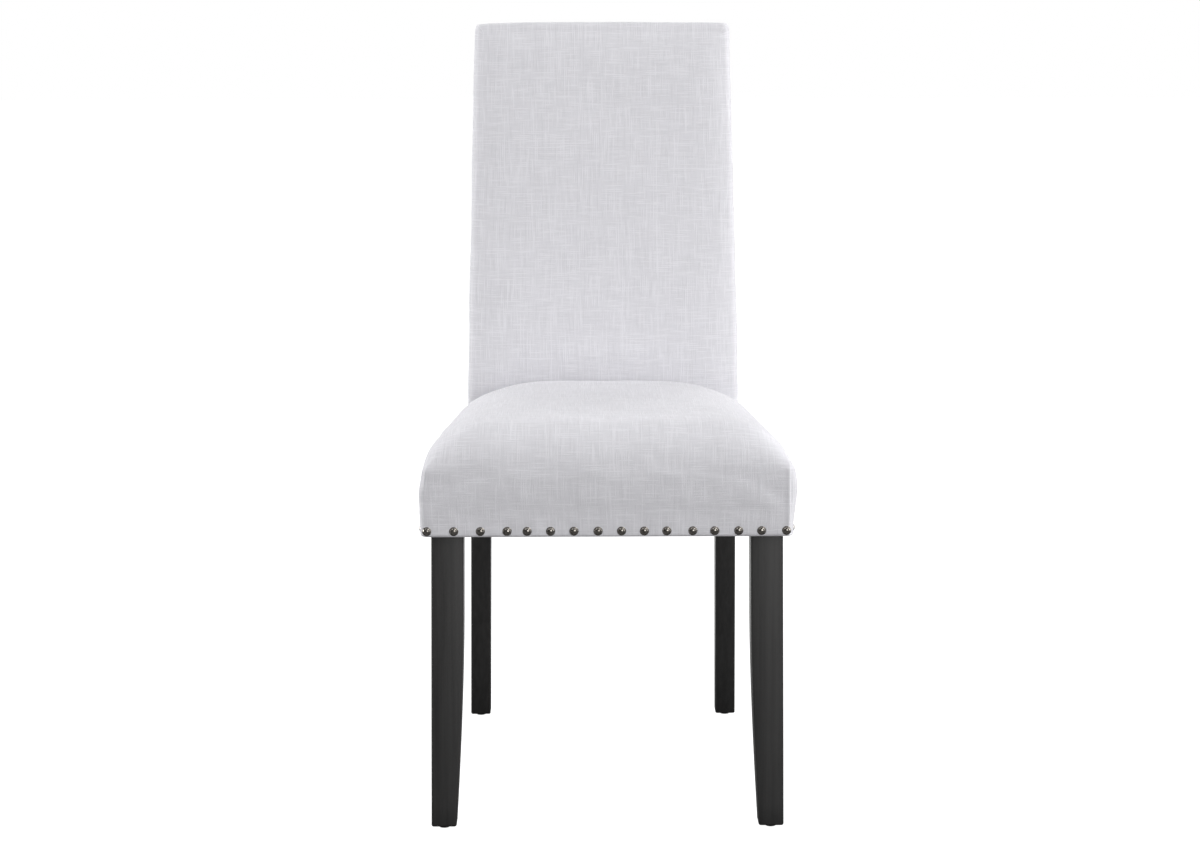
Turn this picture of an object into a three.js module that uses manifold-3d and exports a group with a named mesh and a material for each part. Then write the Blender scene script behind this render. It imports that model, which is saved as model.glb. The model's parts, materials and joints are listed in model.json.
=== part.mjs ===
// Parsons dining chair, in millimetres: a padded seat box bolted to a high padded back.
// +X is to the right as seen from the front, +Y runs from the seat's front face to the back, +Z is up.
// "Right" is side +1 and "left" is side -1. Heights are above the floor.

import * as THREE from 'three';
import { mergeVertices } from 'three/addons/utils/BufferGeometryUtils.js';
import Module from 'manifold-3d';

const wasm = await Module();
wasm.setup();

// Fits shared by every piece
const gap = 0.3;
const overrun = 12;
const mergeTolerance = 0.0001;

// Seat, over its cloth
const seatFrontWidth = 457;
const seatRearWidth = 398;
const seatDepth = 440;
const seatCrownHeight = 508;
const seatDomeDepth = 59;
const seatLedgeDepth = 6.7;
const seatFrontRound = 46;
const seatRearRound = 26;
const seatSideRoundFront = 86;
const seatSideRoundRear = 136;
const seatFrontCorner = 9;
const seatRearCorner = 4;
const seatWallBulge = 1.6;
const seatBowOut = 2;

// Cloth, padding and the return of the cloth under the rails
const clothThickness = 1.5;
const framePadding = 5.9;
const hemReturn = 20;

// Seat box
const railHeight = 60;
const railThickness = 20;
const deckThickness = 9;
const deckInset = 3;
const tenonThickness = 8;
const tenonHeight = 36;
const tenonLength = 10;
const blockHeight = 40;
const blockThickness = 24;
const rearBlockLeg = 58;
const rearBlockNose = 8;
const dustCoverThickness = 0.8;
const dustCoverInset = 12;

// Back, over its cloth
const backTopHeight = 990;
const backCrown = 1.5;
const backPadSides = 4;
const backPadRear = 4.5;
const backPillow = 3;
const backPillowRise = 90;
const backRecline = 0.2474;
const backBendRise = 41;
const backCornerRadius = 11;
const backTopRound = 11;
const backSeatGap = 0.2;
const rearPanelMargin = 12;

// Rear post: the leg below and the back's upright above, cut from one plank
const postThickness = 28;
const postKneeHeight = 469;
const postKneeSetback = 10.4;
const postKneeEase = 30;
const postRake = 0.2737;
const postTopDepth = 40;
const postKneeDepth = 44;
const postFootDepth = 32;
const postFootSpread = 380;
const postCant = 0.0175;
const postTopDrop = 20;
const postEdgeEase = 2;

// Rails and board of the back's frame
const backRailThickness = 22;
const backRailHeight = 46;
const middleRailHeight = 700;
const seatRailRise = 9;
const lowerRailRise = 4.6;
const boardThickness = 3.2;
const boardInset = 8;
const boardRise = 37;
const boardTopDrop = 12;

// Front legs
const legSize = 40;
const legSideInset = 13.1;
const legCant = 0.0089;
const legFootTaper = 9;
const legTaperStart = 267;
const legTaperPower = 1.6;
const legEdgeEase = 2;
const legFootEase = 2.5;
const tongueChamfer = 9;
const tongueDrop = 4;

// Glides
const glideRadius = 8;
const glideRim = 6.6;
const glideHeight = 3.2;
const glidePinRadius = 1.2;
const glidePinLength = 14;

// Upholstery nails
const nailHeadRadius = 5.6;
const nailHeadHeight = 3.2;
const nailRimHeight = 0.7;
const nailShankRadius = 1;
const nailShankLength = 14;
const nailPoint = 3;
const nailRise = 7.6;
const sideNailStart = 22;
const sideNailPitch = 29.3;
const sideNailEnd = 14;

// Leg bolts, with their washers and nuts
const legBoltRadius = 4;
const legBoltInWood = 14;
const legBoltTail = 4;
const legWasherRadius = 9;
const legNutRadius = 7.5;
const legNutHeight = 6.5;
const washerThickness = 1.6;

// Bolts from the seat box into the posts
const seatBoltRadius = 3;
const seatBoltHeadRadius = 5;
const seatBoltHeadHeight = 4.5;
const seatBoltSocketRadius = 2;
const seatBoltSocketDepth = 2.6;
const seatBoltInPost = 24;
const seatBoltOffRail = 6.7;
const seatBoltPitch = 26;
const seatBoltBlock = 14;
const seatWasherRadius = 7;
const boreClearance = 1;

// Facets
const roundSides = 12;
const nailSides = 8;
const shankSides = 4;
const hexSides = 6;
const cornerSteps = 3;
const seatSteps = { front: 4, flank: 4, rear: 4 };
const backSteps = { front: 4, flank: 1, rear: 2 };

// Places worked out from the sizes above
const seatTaper = (seatFrontWidth - seatRearWidth) / 2 / seatDepth;
const clothFit = clothThickness + gap;
const seatShoulderHeight = seatCrownHeight - seatDomeDepth;
const shelfHeight = seatShoulderHeight - seatLedgeDepth;
const deckTop = shelfHeight - clothFit;
const deckBottom = deckTop - deckThickness;
const railTop = deckBottom - gap;
const railBottom = railTop - railHeight;
const railMiddle = railBottom + railHeight / 2;
const seatEdgeHeight = railBottom - clothFit;
const backFoot = Math.max(postKneeHeight, seatShoulderHeight);
const backBendHeight = backFoot + backBendRise;
const boardBottom = backFoot + boardRise;
const postKneeY = seatDepth + postKneeSetback;
const postTop = backTopHeight - postTopDrop;
const woodBottom = glideHeight + gap;
const nailHeight = seatEdgeHeight + nailRise;
const railSlope = Math.hypot(1, postRake);
const legTop = seatEdgeHeight - gap;
const tongueTop = railTop - tongueDrop;

// Front nails, set by hand: shares of the seat's half width, from left to right
const frontNailShares = [
  -0.964, -0.82, -0.678, -0.535, -0.428, -0.303, -0.178, -0.049,
  0.076, 0.198, 0.318, 0.457, 0.574, 0.702, 0.825, 0.958,
];

// Rings of the cushion's dome: shares of the seat's half width in from its edge
const domeInsetShares = [0, 0.01, 0.04, 0.1, 0.19, 0.33, 0.55];

// Rings of the cushion's wall: shares of its height, and of its bulge
const wallRiseShares = [0, 0.5];
const wallBulgeShares = [0, 1];

// Rings of a nail's domed head: shares of its radius and of its height
const nailDomeShares = [[0.86, 0.6], [0.5, 0.92]];

// Steps of a bend, as shares of its ease, and of the back's round top edge, as shares of a quarter turn
const bendShares = [-1, -0.5, 0, 0.5, 1];
const backRoundShares = [0.45, 0.8, 1];

// Levels of a front leg's taper, as shares of the height where it starts
const legLevelShares = [0.15, 0.3, 0.48, 0.68, 0.88, 1];

// Colours and surfaces
const FINISHES = {
  cloth: { color: '#dedde2', roughness: 0.92, metalness: 0 },
  blackWood: { color: '#1b1a1a', roughness: 0.42, metalness: 0 },
  bareWood: { color: '#b98f5f', roughness: 0.75, metalness: 0 },
  plywood: { color: '#c9a878', roughness: 0.8, metalness: 0 },
  foam: { color: '#e9e2c4', roughness: 0.95, metalness: 0 },
  wadding: { color: '#f2f1ee', roughness: 0.98, metalness: 0 },
  darkCloth: { color: '#191919', roughness: 0.95, metalness: 0 },
  gunmetal: { color: '#4a4846', roughness: 0.24, metalness: 1 },
  steel: { color: '#a9abad', roughness: 0.35, metalness: 1 },
  glide: { color: '#202020', roughness: 0.55, metalness: 0 },
};

const SIDES = { left: -1, right: 1 };

const chair = new THREE.Group();

// Solids and meshes

function solid(geometry) {
  const bare = geometry.clone();
  bare.deleteAttribute('normal');
  bare.deleteAttribute('uv');
  const merged = mergeVertices(bare, mergeTolerance);
  return new wasm.Manifold(new wasm.Mesh({
    numProp: 3,
    vertProperties: new Float32Array(merged.attributes.position.array),
    triVerts: new Uint32Array(merged.index.array),
  }));
}

function add(name, body, finish) {
  const { vertProperties, triVerts } = body.getMesh();
  const geometry = new THREE.BufferGeometry();
  geometry.setAttribute('position', new THREE.BufferAttribute(new Float32Array(vertProperties), 3));
  geometry.setIndex(new THREE.BufferAttribute(new Uint32Array(triVerts), 1));
  geometry.computeVertexNormals();
  const material = new THREE.MeshStandardMaterial({ ...FINISHES[finish], flatShading: true });
  const mesh = new THREE.Mesh(geometry, material);
  mesh.name = name;
  chair.add(mesh);
}

// A plan outline [x, y] raised from one height to another.
function raise(points, from, to) {
  const shape = new THREE.Shape(points.map(([x, y]) => new THREE.Vector2(x, y)));
  const geometry = new THREE.ExtrudeGeometry(shape, { depth: to - from, bevelEnabled: false });
  return solid(geometry.translate(0, 0, from));
}

// A side outline [y, z] run along X from one place to another, with its long edges eased.
function run(points, from, to, ease = 0) {
  const shape = new THREE.Shape(points.map(([y, z]) => new THREE.Vector2(y, z)));
  const geometry = new THREE.ExtrudeGeometry(shape, {
    depth: to - from - 2 * ease,
    bevelEnabled: ease > 0,
    bevelThickness: ease,
    bevelSize: ease,
    bevelOffset: -ease,
    bevelSegments: 1,
  });
  const turn = new THREE.Matrix4().makeBasis(
    new THREE.Vector3(0, 1, 0), new THREE.Vector3(0, 0, 1), new THREE.Vector3(1, 0, 0));
  return solid(geometry.applyMatrix4(turn).translate(from + ease, 0, 0));
}

// A front outline [x, z] run along Y from one place to another.
function pierce(points, from, to) {
  const shape = new THREE.Shape(points.map(([x, z]) => new THREE.Vector2(x, z)));
  const geometry = new THREE.ExtrudeGeometry(shape, { depth: to - from, bevelEnabled: false });
  return solid(geometry.rotateX(Math.PI / 2).translate(0, to, 0));
}

// A box given by its corners.
function block(low, high) {
  const size = high.clone().sub(low);
  const centre = high.clone().add(low).multiplyScalar(0.5);
  return solid(new THREE.BoxGeometry(size.x, size.y, size.z).translate(centre.x, centre.y, centre.z));
}

// A profile [radius, height] turned about an axis that starts at a point.
function turned(profile, start, axis, sides = roundSides) {
  const points = profile.map(([r, h]) => new THREE.Vector2(r, h));
  const spin = new THREE.Quaternion().setFromUnitVectors(
    new THREE.Vector3(0, 1, 0), axis.clone().normalize());
  const geometry = new THREE.LatheGeometry(points, sides);
  return solid(geometry.applyQuaternion(spin).translate(start.x, start.y, start.z));
}

// A plain rod from a point along an axis.
function rod(radius, from, to, start, axis, sides = roundSides) {
  return turned([[0, from], [radius, from], [radius, to], [0, to]], start, axis, sides);
}

// A closed skin over rings of points that turn anticlockwise seen from above, from the lowest ring up.
function loft(rings, foot, crown) {
  const count = rings[0].length;
  const corners = [...rings.flat(), foot, crown];
  const footIndex = corners.length - 2;
  const crownIndex = corners.length - 1;
  const index = [];
  for (let j = 0; j < count; j += 1) {
    const next = (j + 1) % count;
    index.push(footIndex, next, j);
    for (let i = 0; i + 1 < rings.length; i += 1) {
      const low = i * count;
      const high = low + count;
      index.push(low + j, low + next, high + next, low + j, high + next, high + j);
    }
    const last = (rings.length - 1) * count;
    index.push(last + j, last + next, crownIndex);
  }
  const geometry = new THREE.BufferGeometry().setFromPoints(corners);
  geometry.setIndex(index);
  return solid(geometry);
}

function mix(a, b, share) {
  return a + (b - a) * share;
}

function clampShare(value) {
  return Math.min(1, Math.max(0, value));
}

// Zero before a bend and one for one after it, eased over the given length on both sides.
function ramp(distance, ease) {
  if (distance <= -ease) return 0;
  if (distance >= ease) return distance;
  return (distance + ease) ** 2 / (4 * ease);
}

// A rectangle with round corners, anticlockwise seen from above, from its front left corner.
function roundedOutline(halfWidth, front, rear, radii, steps) {
  const largest = Math.min(halfWidth, (rear - front) / 2) - gap;
  const [a, b] = [radii.front, radii.rear].map((radius) => Math.max(gap, Math.min(radius, largest)));
  const points = [];
  const arc = (x, y, radius, startAngle) => {
    for (let k = 0; k <= cornerSteps; k += 1) {
      const angle = startAngle + (k / cornerSteps) * (Math.PI / 2);
      points.push([x + radius * Math.cos(angle), y + radius * Math.sin(angle)]);
    }
  };
  const line = (count, endX, endY) => {
    const [x, y] = points[points.length - 1];
    for (let k = 1; k < count; k += 1) points.push([mix(x, endX, k / count), mix(y, endY, k / count)]);
  };
  arc(-halfWidth + a, front + a, a, Math.PI);
  line(steps.front, halfWidth - a, front);
  arc(halfWidth - a, front + a, a, -Math.PI / 2);
  line(steps.flank, halfWidth, rear - b);
  arc(halfWidth - b, rear - b, b, 0);
  line(steps.rear, -halfWidth + b, rear);
  arc(-halfWidth + b, rear - b, b, Math.PI / 2);
  line(steps.flank, -halfWidth, front + a);
  return points;
}

// Lines that several pieces share

// Half width between the seat's flanks at a depth, drawn in by a padding.
function flank(y, padding) {
  return seatFrontWidth / 2 - seatTaper * y - padding;
}

// The front edge of the rear post, seen from the side.
function postFront(z) {
  return postKneeY + backRecline * ramp(z - postKneeHeight, postKneeEase)
    + postRake * ramp(postKneeHeight - z, postKneeEase);
}

// The rear edge of the rear post, seen from the side.
function postRear(z) {
  const below = mix(postFootDepth, postKneeDepth, clampShare(z / postKneeHeight));
  const above = mix(postKneeDepth, postTopDepth,
    clampShare((z - postKneeHeight) / (postTop - postKneeHeight)));
  return postFront(z) + (z < postKneeHeight ? below : above);
}

// Half the width over the posts' outer faces at a height.
function postOuter(z) {
  return postFootSpread / 2 - postCant * z;
}

// The heights where a curve bends, and those with the ends of a stretch.
function bends(centre) {
  return bendShares.map((share) => centre + share * postKneeEase);
}

function stations(low, high, centres = [postKneeHeight]) {
  const between = centres.flatMap(bends).filter((z) => z > low && z < high);
  return [low, ...between.sort((a, b) => a - b), high];
}

// How far the seat's flanks bow out at a depth.
function bow(y) {
  const along = clampShare(y / seatPlane(seatEdgeHeight, gap));
  return seatBowOut * 4 * along * (1 - along);
}

// The straight plane in front of the posts that the seat box bolts to, drawn forward by an offset.
function seatPlane(z, offset) {
  return postKneeY + postRake * (postKneeHeight - z) - offset;
}

// The seat's rear wall, over its cloth.
function seatRear(z) {
  return z <= shelfHeight ? seatPlane(z, gap) : seatDepth - backSeatGap;
}

// The front face of the back's cloth.
function backFront(z) {
  return seatDepth + backSeatGap + backRecline * ramp(z - backBendHeight, postKneeEase);
}

// The rear face of the back's cloth.
function backRear(z) {
  return postRear(z) + backPadRear;
}

// Everything behind the seat plane, over the height of the rails.
function behindSeatPlane(offset) {
  const low = railBottom - overrun;
  const high = railTop + overrun;
  const far = seatPlane(low, 0) + seatDepth;
  return run([
    [seatPlane(low, offset), low], [far, low], [far, high], [seatPlane(high, offset), high],
  ], -seatFrontWidth, seatFrontWidth);
}

// Everything between the posts' inner faces, or out to their outer faces, over some height.
function betweenPosts(inset, low, high) {
  const points = [
    [-(postOuter(low) - inset), low], [postOuter(low) - inset, low],
    [postOuter(high) - inset, high], [-(postOuter(high) - inset), high],
  ];
  return pierce(points, 0, 2 * seatDepth);
}

// The cushion form

// How full the cushion is at a distance in from an edge that is rounded over some length.
function fullness(distance, round) {
  const share = clampShare(distance / round);
  return Math.sqrt(1 - (1 - share) ** 2);
}

function cushionHeight(x, y) {
  const sideRound = mix(seatSideRoundFront, seatSideRoundRear, clampShare(y / seatDepth));
  const full = fullness(flank(y, 0) - Math.abs(x), sideRound)
    * fullness(y, seatFrontRound)
    * fullness(seatRear(seatCrownHeight) - y, seatRearRound);
  return mix(seatShoulderHeight, seatCrownHeight, full);
}

// One ring of the cushion's plan, drawn in from its front and flanks, and ending at its rear.
function cushionOutline(inset, rear, soften = 0) {
  const half = seatFrontWidth / 2 - inset;
  const radii = { front: seatFrontCorner + soften, rear: seatRearCorner + soften };
  const points = roundedOutline(half, inset, rear, radii, seatSteps);
  return points.map(([x, y]) => [x - (x / half) * (seatTaper * y - bow(y)), y]);
}

function wallRing(z, drawnIn, bulge = 0) {
  return cushionOutline(drawnIn - bulge, seatRear(z) - drawnIn)
    .map(([x, y]) => new THREE.Vector3(x, y, z));
}

// The seat's upholstered form, drawn in all round by a cloth or a fit, and standing on a bottom height.
function cushionForm(drawnIn, bottom) {
  const walls = wallRiseShares.map((share, k) => {
    const z = mix(seatEdgeHeight, shelfHeight, share);
    const ring = wallRing(z, drawnIn, seatWallBulge * wallBulgeShares[k]);
    return share === 0 ? ring.map((p) => p.setZ(bottom)) : ring;
  });
  walls.push(wallRing(shelfHeight, drawnIn, seatWallBulge).map((p) => p.setZ(shelfHeight - drawnIn)));
  const dome = domeInsetShares.map((share) => {
    const inset = share * seatFrontWidth / 2;
    const rear = seatRear(seatCrownHeight) - inset;
    const outer = cushionOutline(inset, rear, inset / 2);
    const own = cushionOutline(inset + drawnIn, rear - drawnIn, inset / 2);
    return own.map(([x, y], j) => new THREE.Vector3(x, y, cushionHeight(...outer[j]) - drawnIn));
  });
  const middle = seatDepth / 2;
  const foot = new THREE.Vector3(0, middle, bottom);
  const crown = new THREE.Vector3(0, middle, seatCrownHeight - drawnIn);
  return loft([...walls, ...dome], foot, crown);
}

// The back form

function backRing(z, drawnIn, inset) {
  const half = postOuter(z) + backPadSides - drawnIn - inset;
  const front = backFront(z) + drawnIn + inset;
  const rear = backRear(z) - drawnIn - inset;
  const radius = Math.max(gap, backCornerRadius - inset);
  const points = roundedOutline(half, front, rear, { front: radius, rear: radius }, backSteps);
  const middle = (front + rear) / 2;
  const full = clampShare((z - backBendHeight) / backPillowRise)
    * clampShare((backTopHeight - z) / backPillowRise);
  return points.map(([x, y]) => {
    const pillow = y < middle ? full * backPillow * (1 - (x / half) ** 2) : 0;
    return new THREE.Vector3(x, y - pillow, z);
  });
}

// The back's upholstered form, drawn in all round, and standing on a bottom height.
function backForm(drawnIn, bottom) {
  const roundStart = backTopHeight - backCrown - backTopRound;
  const levels = stations(bottom, roundStart, [postKneeHeight, backBendHeight]);
  levels.splice(-1, 0, backBendHeight + backPillowRise, backTopHeight - backPillowRise);
  const rings = levels.map((z) => backRing(z, drawnIn, 0));
  for (const share of backRoundShares) {
    const angle = share * Math.PI / 2;
    const inset = backTopRound * (1 - Math.cos(angle));
    const z = roundStart + backTopRound * Math.sin(angle);
    rings.push(backRing(z, drawnIn, inset).map((p) => p.setZ(z - drawnIn)));
  }
  const centre = (z) => (backFront(z) + backRear(z)) / 2;
  const foot = new THREE.Vector3(0, centre(bottom), bottom);
  const crown = new THREE.Vector3(0, centre(backTopHeight), backTopHeight - drawnIn);
  return loft(rings, foot, crown);
}

// Nails

const headProfile = [
  [nailHeadRadius, 0], [nailHeadRadius, nailRimHeight],
  ...nailDomeShares.map(([across, rise]) => [nailHeadRadius * across, nailHeadHeight * rise]),
  [0, nailHeadHeight],
];

// A nail whose head rests on the cloth: its axis points out of the seat.
function nail(place, outward) {
  const profile = [[0, 0], ...headProfile];
  const head = turned(profile, place, outward, nailSides);
  const inward = outward.clone().negate();
  const shaft = turned([
    [0, -nailRimHeight / 2], [nailShankRadius, -nailRimHeight / 2],
    [nailShankRadius, nailShankLength - nailPoint], [0, nailShankLength],
  ], place, inward, shankSides);
  return head.add(shaft);
}

// The hole that a nail's shank makes.
function nailHole(place, outward) {
  const from = -nailHeadHeight;
  return rod(nailShankRadius + gap, from, nailShankLength + gap, place, outward.clone().negate(), shankSides);
}

// How far the cloth stands out at the top of the nails' heads.
function bulgeAtNails() {
  const rise = (nailHeight + nailHeadRadius - seatEdgeHeight) / (shelfHeight - seatEdgeHeight);
  return seatWallBulge * wallBulgeShares[1] * clampShare(rise / wallRiseShares[1]);
}

function frontNailPlaces() {
  return frontNailShares.map((share) => ({
    place: new THREE.Vector3(share * seatFrontWidth / 2, -bulgeAtNails() - gap, nailHeight),
    outward: new THREE.Vector3(0, -1, 0),
  }));
}

function sideNailPlaces(side) {
  const last = seatPlane(nailHeight, gap) - sideNailEnd;
  const count = Math.floor((last - sideNailStart) / sideNailPitch) + 1;
  const places = [];
  for (let k = 0; k < count; k += 1) {
    const y = sideNailStart + k * sideNailPitch;
    const x = flank(y, 0) + bow(y) + bulgeAtNails() + gap;
    places.push({
      place: new THREE.Vector3(side * x, y, nailHeight),
      outward: new THREE.Vector3(side, seatTaper, 0),
    });
  }
  return places;
}

const frontNails = frontNailPlaces();
const sideNails = { left: sideNailPlaces(SIDES.left), right: sideNailPlaces(SIDES.right) };

function drill(body, places) {
  return places.reduce((cut, { place, outward }) => cut.subtract(nailHole(place, outward)), body);
}

// Seat box

// A side rail's plan, long enough to be cut by the seat plane.
function sideRailPlan(side) {
  const front = framePadding;
  const rear = seatPlane(railBottom, 0) + overrun;
  const outer = framePadding;
  const inner = framePadding + railThickness;
  return [
    [side * flank(front, outer), front], [side * flank(rear, outer), rear],
    [side * flank(rear, inner), rear], [side * flank(front, inner), front],
  ];
}

// A stub tenon that reaches from a cross rail's end into a side rail's inner face.
function stubTenon(side, y, fit) {
  const shoulder = flank(y, framePadding + railThickness);
  const low = new THREE.Vector3(shoulder - overrun, y - tenonThickness / 2 - fit,
    railMiddle - tenonHeight / 2 - fit);
  const high = new THREE.Vector3(shoulder + tenonLength + fit, y + tenonThickness / 2 + fit,
    railMiddle + tenonHeight / 2 + fit);
  if (side < 0) [low.x, high.x] = [-high.x, -low.x];
  return block(low, high);
}

const frontTenonY = framePadding + railThickness / 2;
const rearRailBack = clothFit + gap;
const rearRailFront = rearRailBack + railThickness * railSlope;
const rearTenonY = seatPlane(railMiddle, (rearRailBack + rearRailFront) / 2);

function sideRail(name, side) {
  const places = sideNails[name];
  let rail = raise(sideRailPlan(side), railBottom, railTop)
    .subtract(behindSeatPlane(rearRailBack))
    .subtract(stubTenon(side, frontTenonY, gap))
    .subtract(stubTenon(side, rearTenonY, gap));
  rail = drill(rail, frontNails);
  for (const { place, outward } of places) rail = rail.add(nail(place, outward));
  return rail;
}

// Everything between the side rails' inner faces, less a fit.
function betweenSideRails(fit) {
  const inset = framePadding + railThickness + fit;
  const far = seatPlane(railBottom, 0) + overrun;
  return raise([
    [-flank(0, inset), 0], [flank(0, inset), 0], [flank(far, inset), far], [-flank(far, inset), far],
  ], railBottom, railTop);
}

function frontRail() {
  const low = new THREE.Vector3(-seatFrontWidth, framePadding, railBottom);
  const high = new THREE.Vector3(seatFrontWidth, framePadding + railThickness, railTop);
  const rail = block(low, high)
    .intersect(betweenSideRails(gap))
    .add(stubTenon(SIDES.left, frontTenonY, 0))
    .add(stubTenon(SIDES.right, frontTenonY, 0));
  return drill(rail, frontNails);
}

// The seat bolts' axis, and where each crosses the front of the rear rail.
const seatBoltAxis = new THREE.Vector3(0, 1, postRake).normalize();

function seatBoltPlace(side, level) {
  const z = railMiddle + level * seatBoltPitch / 2;
  const rail = flank(seatPlane(railMiddle, rearRailFront), framePadding + railThickness);
  return new THREE.Vector3(side * (rail - seatBoltOffRail), seatPlane(z, rearRailFront), z);
}

const seatBoltPlaces = Object.entries(SIDES).flatMap(([name, side]) => [
  { name: `${name}_lower`, place: seatBoltPlace(side, -1) },
  { name: `${name}_upper`, place: seatBoltPlace(side, 1) },
]);

// The bolts' way through the wood, from inside the seat box to the end of the bolts.
function boltWays(body) {
  const end = railThickness + rearRailBack + seatBoltInPost;
  return seatBoltPlaces.reduce((cut, { place }) => cut
    .subtract(rod(seatBoltRadius + gap, -seatBoltBlock - overrun, end, place, seatBoltAxis)), body);
}

function rearRail() {
  const side = [
    [seatPlane(railBottom, rearRailFront), railBottom], [seatPlane(railBottom, rearRailBack), railBottom],
    [seatPlane(railTop, rearRailBack), railTop], [seatPlane(railTop, rearRailFront), railTop],
  ];
  const rail = run(side, -seatFrontWidth, seatFrontWidth)
    .intersect(betweenSideRails(gap))
    .add(stubTenon(SIDES.left, rearTenonY, 0))
    .add(stubTenon(SIDES.right, rearTenonY, 0));
  return boltWays(rail);
}

// A place in an inner corner of the seat box: u runs inwards from the side rail, v from the cross rail.
function cornerPlace(side, y, ahead, u, v) {
  const x = flank(y, framePadding + railThickness) - u - ahead * seatTaper * v;
  return [side * x, y + ahead * v];
}

const frontCornerY = framePadding + railThickness;
const tongueU = flank(frontCornerY, framePadding + railThickness)
  - (seatFrontWidth / 2 - legSideInset - legSize);
const tongueV = legSize + framePadding - frontCornerY;
const tongueDiagonal = tongueU + tongueV - tongueChamfer;
const blockReach = tongueDiagonal + 2 * gap;
const cornerSlant = Math.hypot(1, 1 - seatTaper);

function frontBlockPlan(side) {
  const deep = blockReach + blockThickness * cornerSlant;
  const corners = [[blockReach, gap], [deep, gap], [gap, deep], [gap, blockReach]];
  return corners.map(([u, v]) => cornerPlace(side, frontCornerY, 1, u, v));
}

// The leg bolt's axis points from the leg's tongue into the seat box.
function legBolt(side) {
  const [u, v] = [tongueU - tongueChamfer / 2, tongueV - tongueChamfer / 2];
  const [x, y] = cornerPlace(side, frontCornerY, 1, u, v);
  return {
    place: new THREE.Vector3(x, y, railMiddle),
    axis: new THREE.Vector3(-side, 1 - seatTaper, 0).normalize(),
  };
}

const legBoltFace = 2 * gap / cornerSlant + blockThickness;

function frontBlock(side) {
  const { place, axis } = legBolt(side);
  return raise(frontBlockPlan(side), railMiddle - blockHeight / 2, railMiddle + blockHeight / 2)
    .subtract(rod(legBoltRadius + gap, -overrun, legBoltFace + overrun, place, axis));
}

function rearBlock(side) {
  const y = seatPlane(railBottom, rearRailFront);
  const corners = [
    [gap, -overrun * 2], [rearBlockLeg, -overrun * 2], [rearBlockLeg, rearBlockNose],
    [rearBlockNose, rearBlockLeg], [gap, rearBlockLeg],
  ];
  const outline = corners.map(([u, v]) => cornerPlace(side, y, -1, u, v));
  let body = raise(outline, railMiddle - blockHeight / 2, railMiddle + blockHeight / 2)
    .subtract(behindSeatPlane(rearRailFront + gap));
  for (const { place } of seatBoltPlaces) {
    body = body.subtract(rod(seatWasherRadius + boreClearance, -rearBlockLeg * 2, -seatBoltBlock,
      place, seatBoltAxis));
  }
  return boltWays(body);
}

function deck() {
  const inset = framePadding + deckInset;
  const rear = seatPlane(deckTop, rearRailBack) - deckInset;
  return raise([
    [-flank(inset, inset), inset], [flank(inset, inset), inset],
    [flank(rear, inset), rear], [-flank(rear, inset), rear],
  ], deckBottom, deckTop);
}

// The space that the seat box and its deck take inside the padding.
function seatFrameSpace(fit) {
  const pad = framePadding - fit;
  const far = seatPlane(railBottom, 0) + overrun;
  return raise([
    [-flank(pad, pad), pad], [flank(pad, pad), pad], [flank(far, pad), far], [-flank(far, pad), far],
  ], railBottom - overrun, deckTop + fit);
}

function seatFoam() {
  const form = cushionForm(clothFit, railBottom).subtract(seatFrameSpace(gap));
  return drillSeat(form);
}

function drillSeat(body) {
  return drill(drill(drill(body, frontNails), sideNails.left), sideNails.right);
}

function seatCover() {
  const hem = wallRing(seatEdgeHeight, hemReturn).map(({ x, y }) => [x, y]);
  const shell = cushionForm(0, seatEdgeHeight)
    .subtract(cushionForm(clothThickness, seatEdgeHeight + clothThickness))
    .subtract(raise(hem, seatEdgeHeight - overrun, seatEdgeHeight + overrun));
  return boltWays(drillSeat(shell));
}

function dustCover() {
  const top = seatEdgeHeight - gap;
  const outline = wallRing(seatEdgeHeight, dustCoverInset).map(({ x, y }) => [x, y]);
  let sheet = raise(outline, top - dustCoverThickness, top);
  for (const side of Object.values(SIDES)) {
    const inner = seatFrontWidth / 2 - legSideInset - legSize - seatTaper * tongueV - dustCoverThickness;
    const low = new THREE.Vector3(inner, 0, top - overrun);
    const high = new THREE.Vector3(seatFrontWidth, framePadding + legSize + dustCoverThickness, top + overrun);
    if (side < 0) [low.x, high.x] = [-high.x, -low.x];
    sheet = sheet.subtract(block(low, high));
  }
  return sheet;
}

// Front legs

// A square ring of a leg at a height: its outer and front faces stay, its inner faces taper.
function legRing(side, z, inset) {
  const outer = seatFrontWidth / 2 - legSideInset + legCant * (legTop - z) - inset;
  const taper = legFootTaper * clampShare((legTaperStart - z) / legTaperStart) ** legTaperPower;
  const size = legSize - taper - 2 * inset;
  const front = framePadding + inset;
  const e = legEdgeEase;
  const corners = [
    [outer - size + e, front], [outer - e, front], [outer, front + e], [outer, front + size - e],
    [outer - e, front + size], [outer - size + e, front + size],
    [outer - size, front + size - e], [outer - size, front + e],
  ];
  const ring = corners.map(([x, y]) => new THREE.Vector3(side * x, y, z));
  return side > 0 ? ring : ring.reverse();
}

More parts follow.
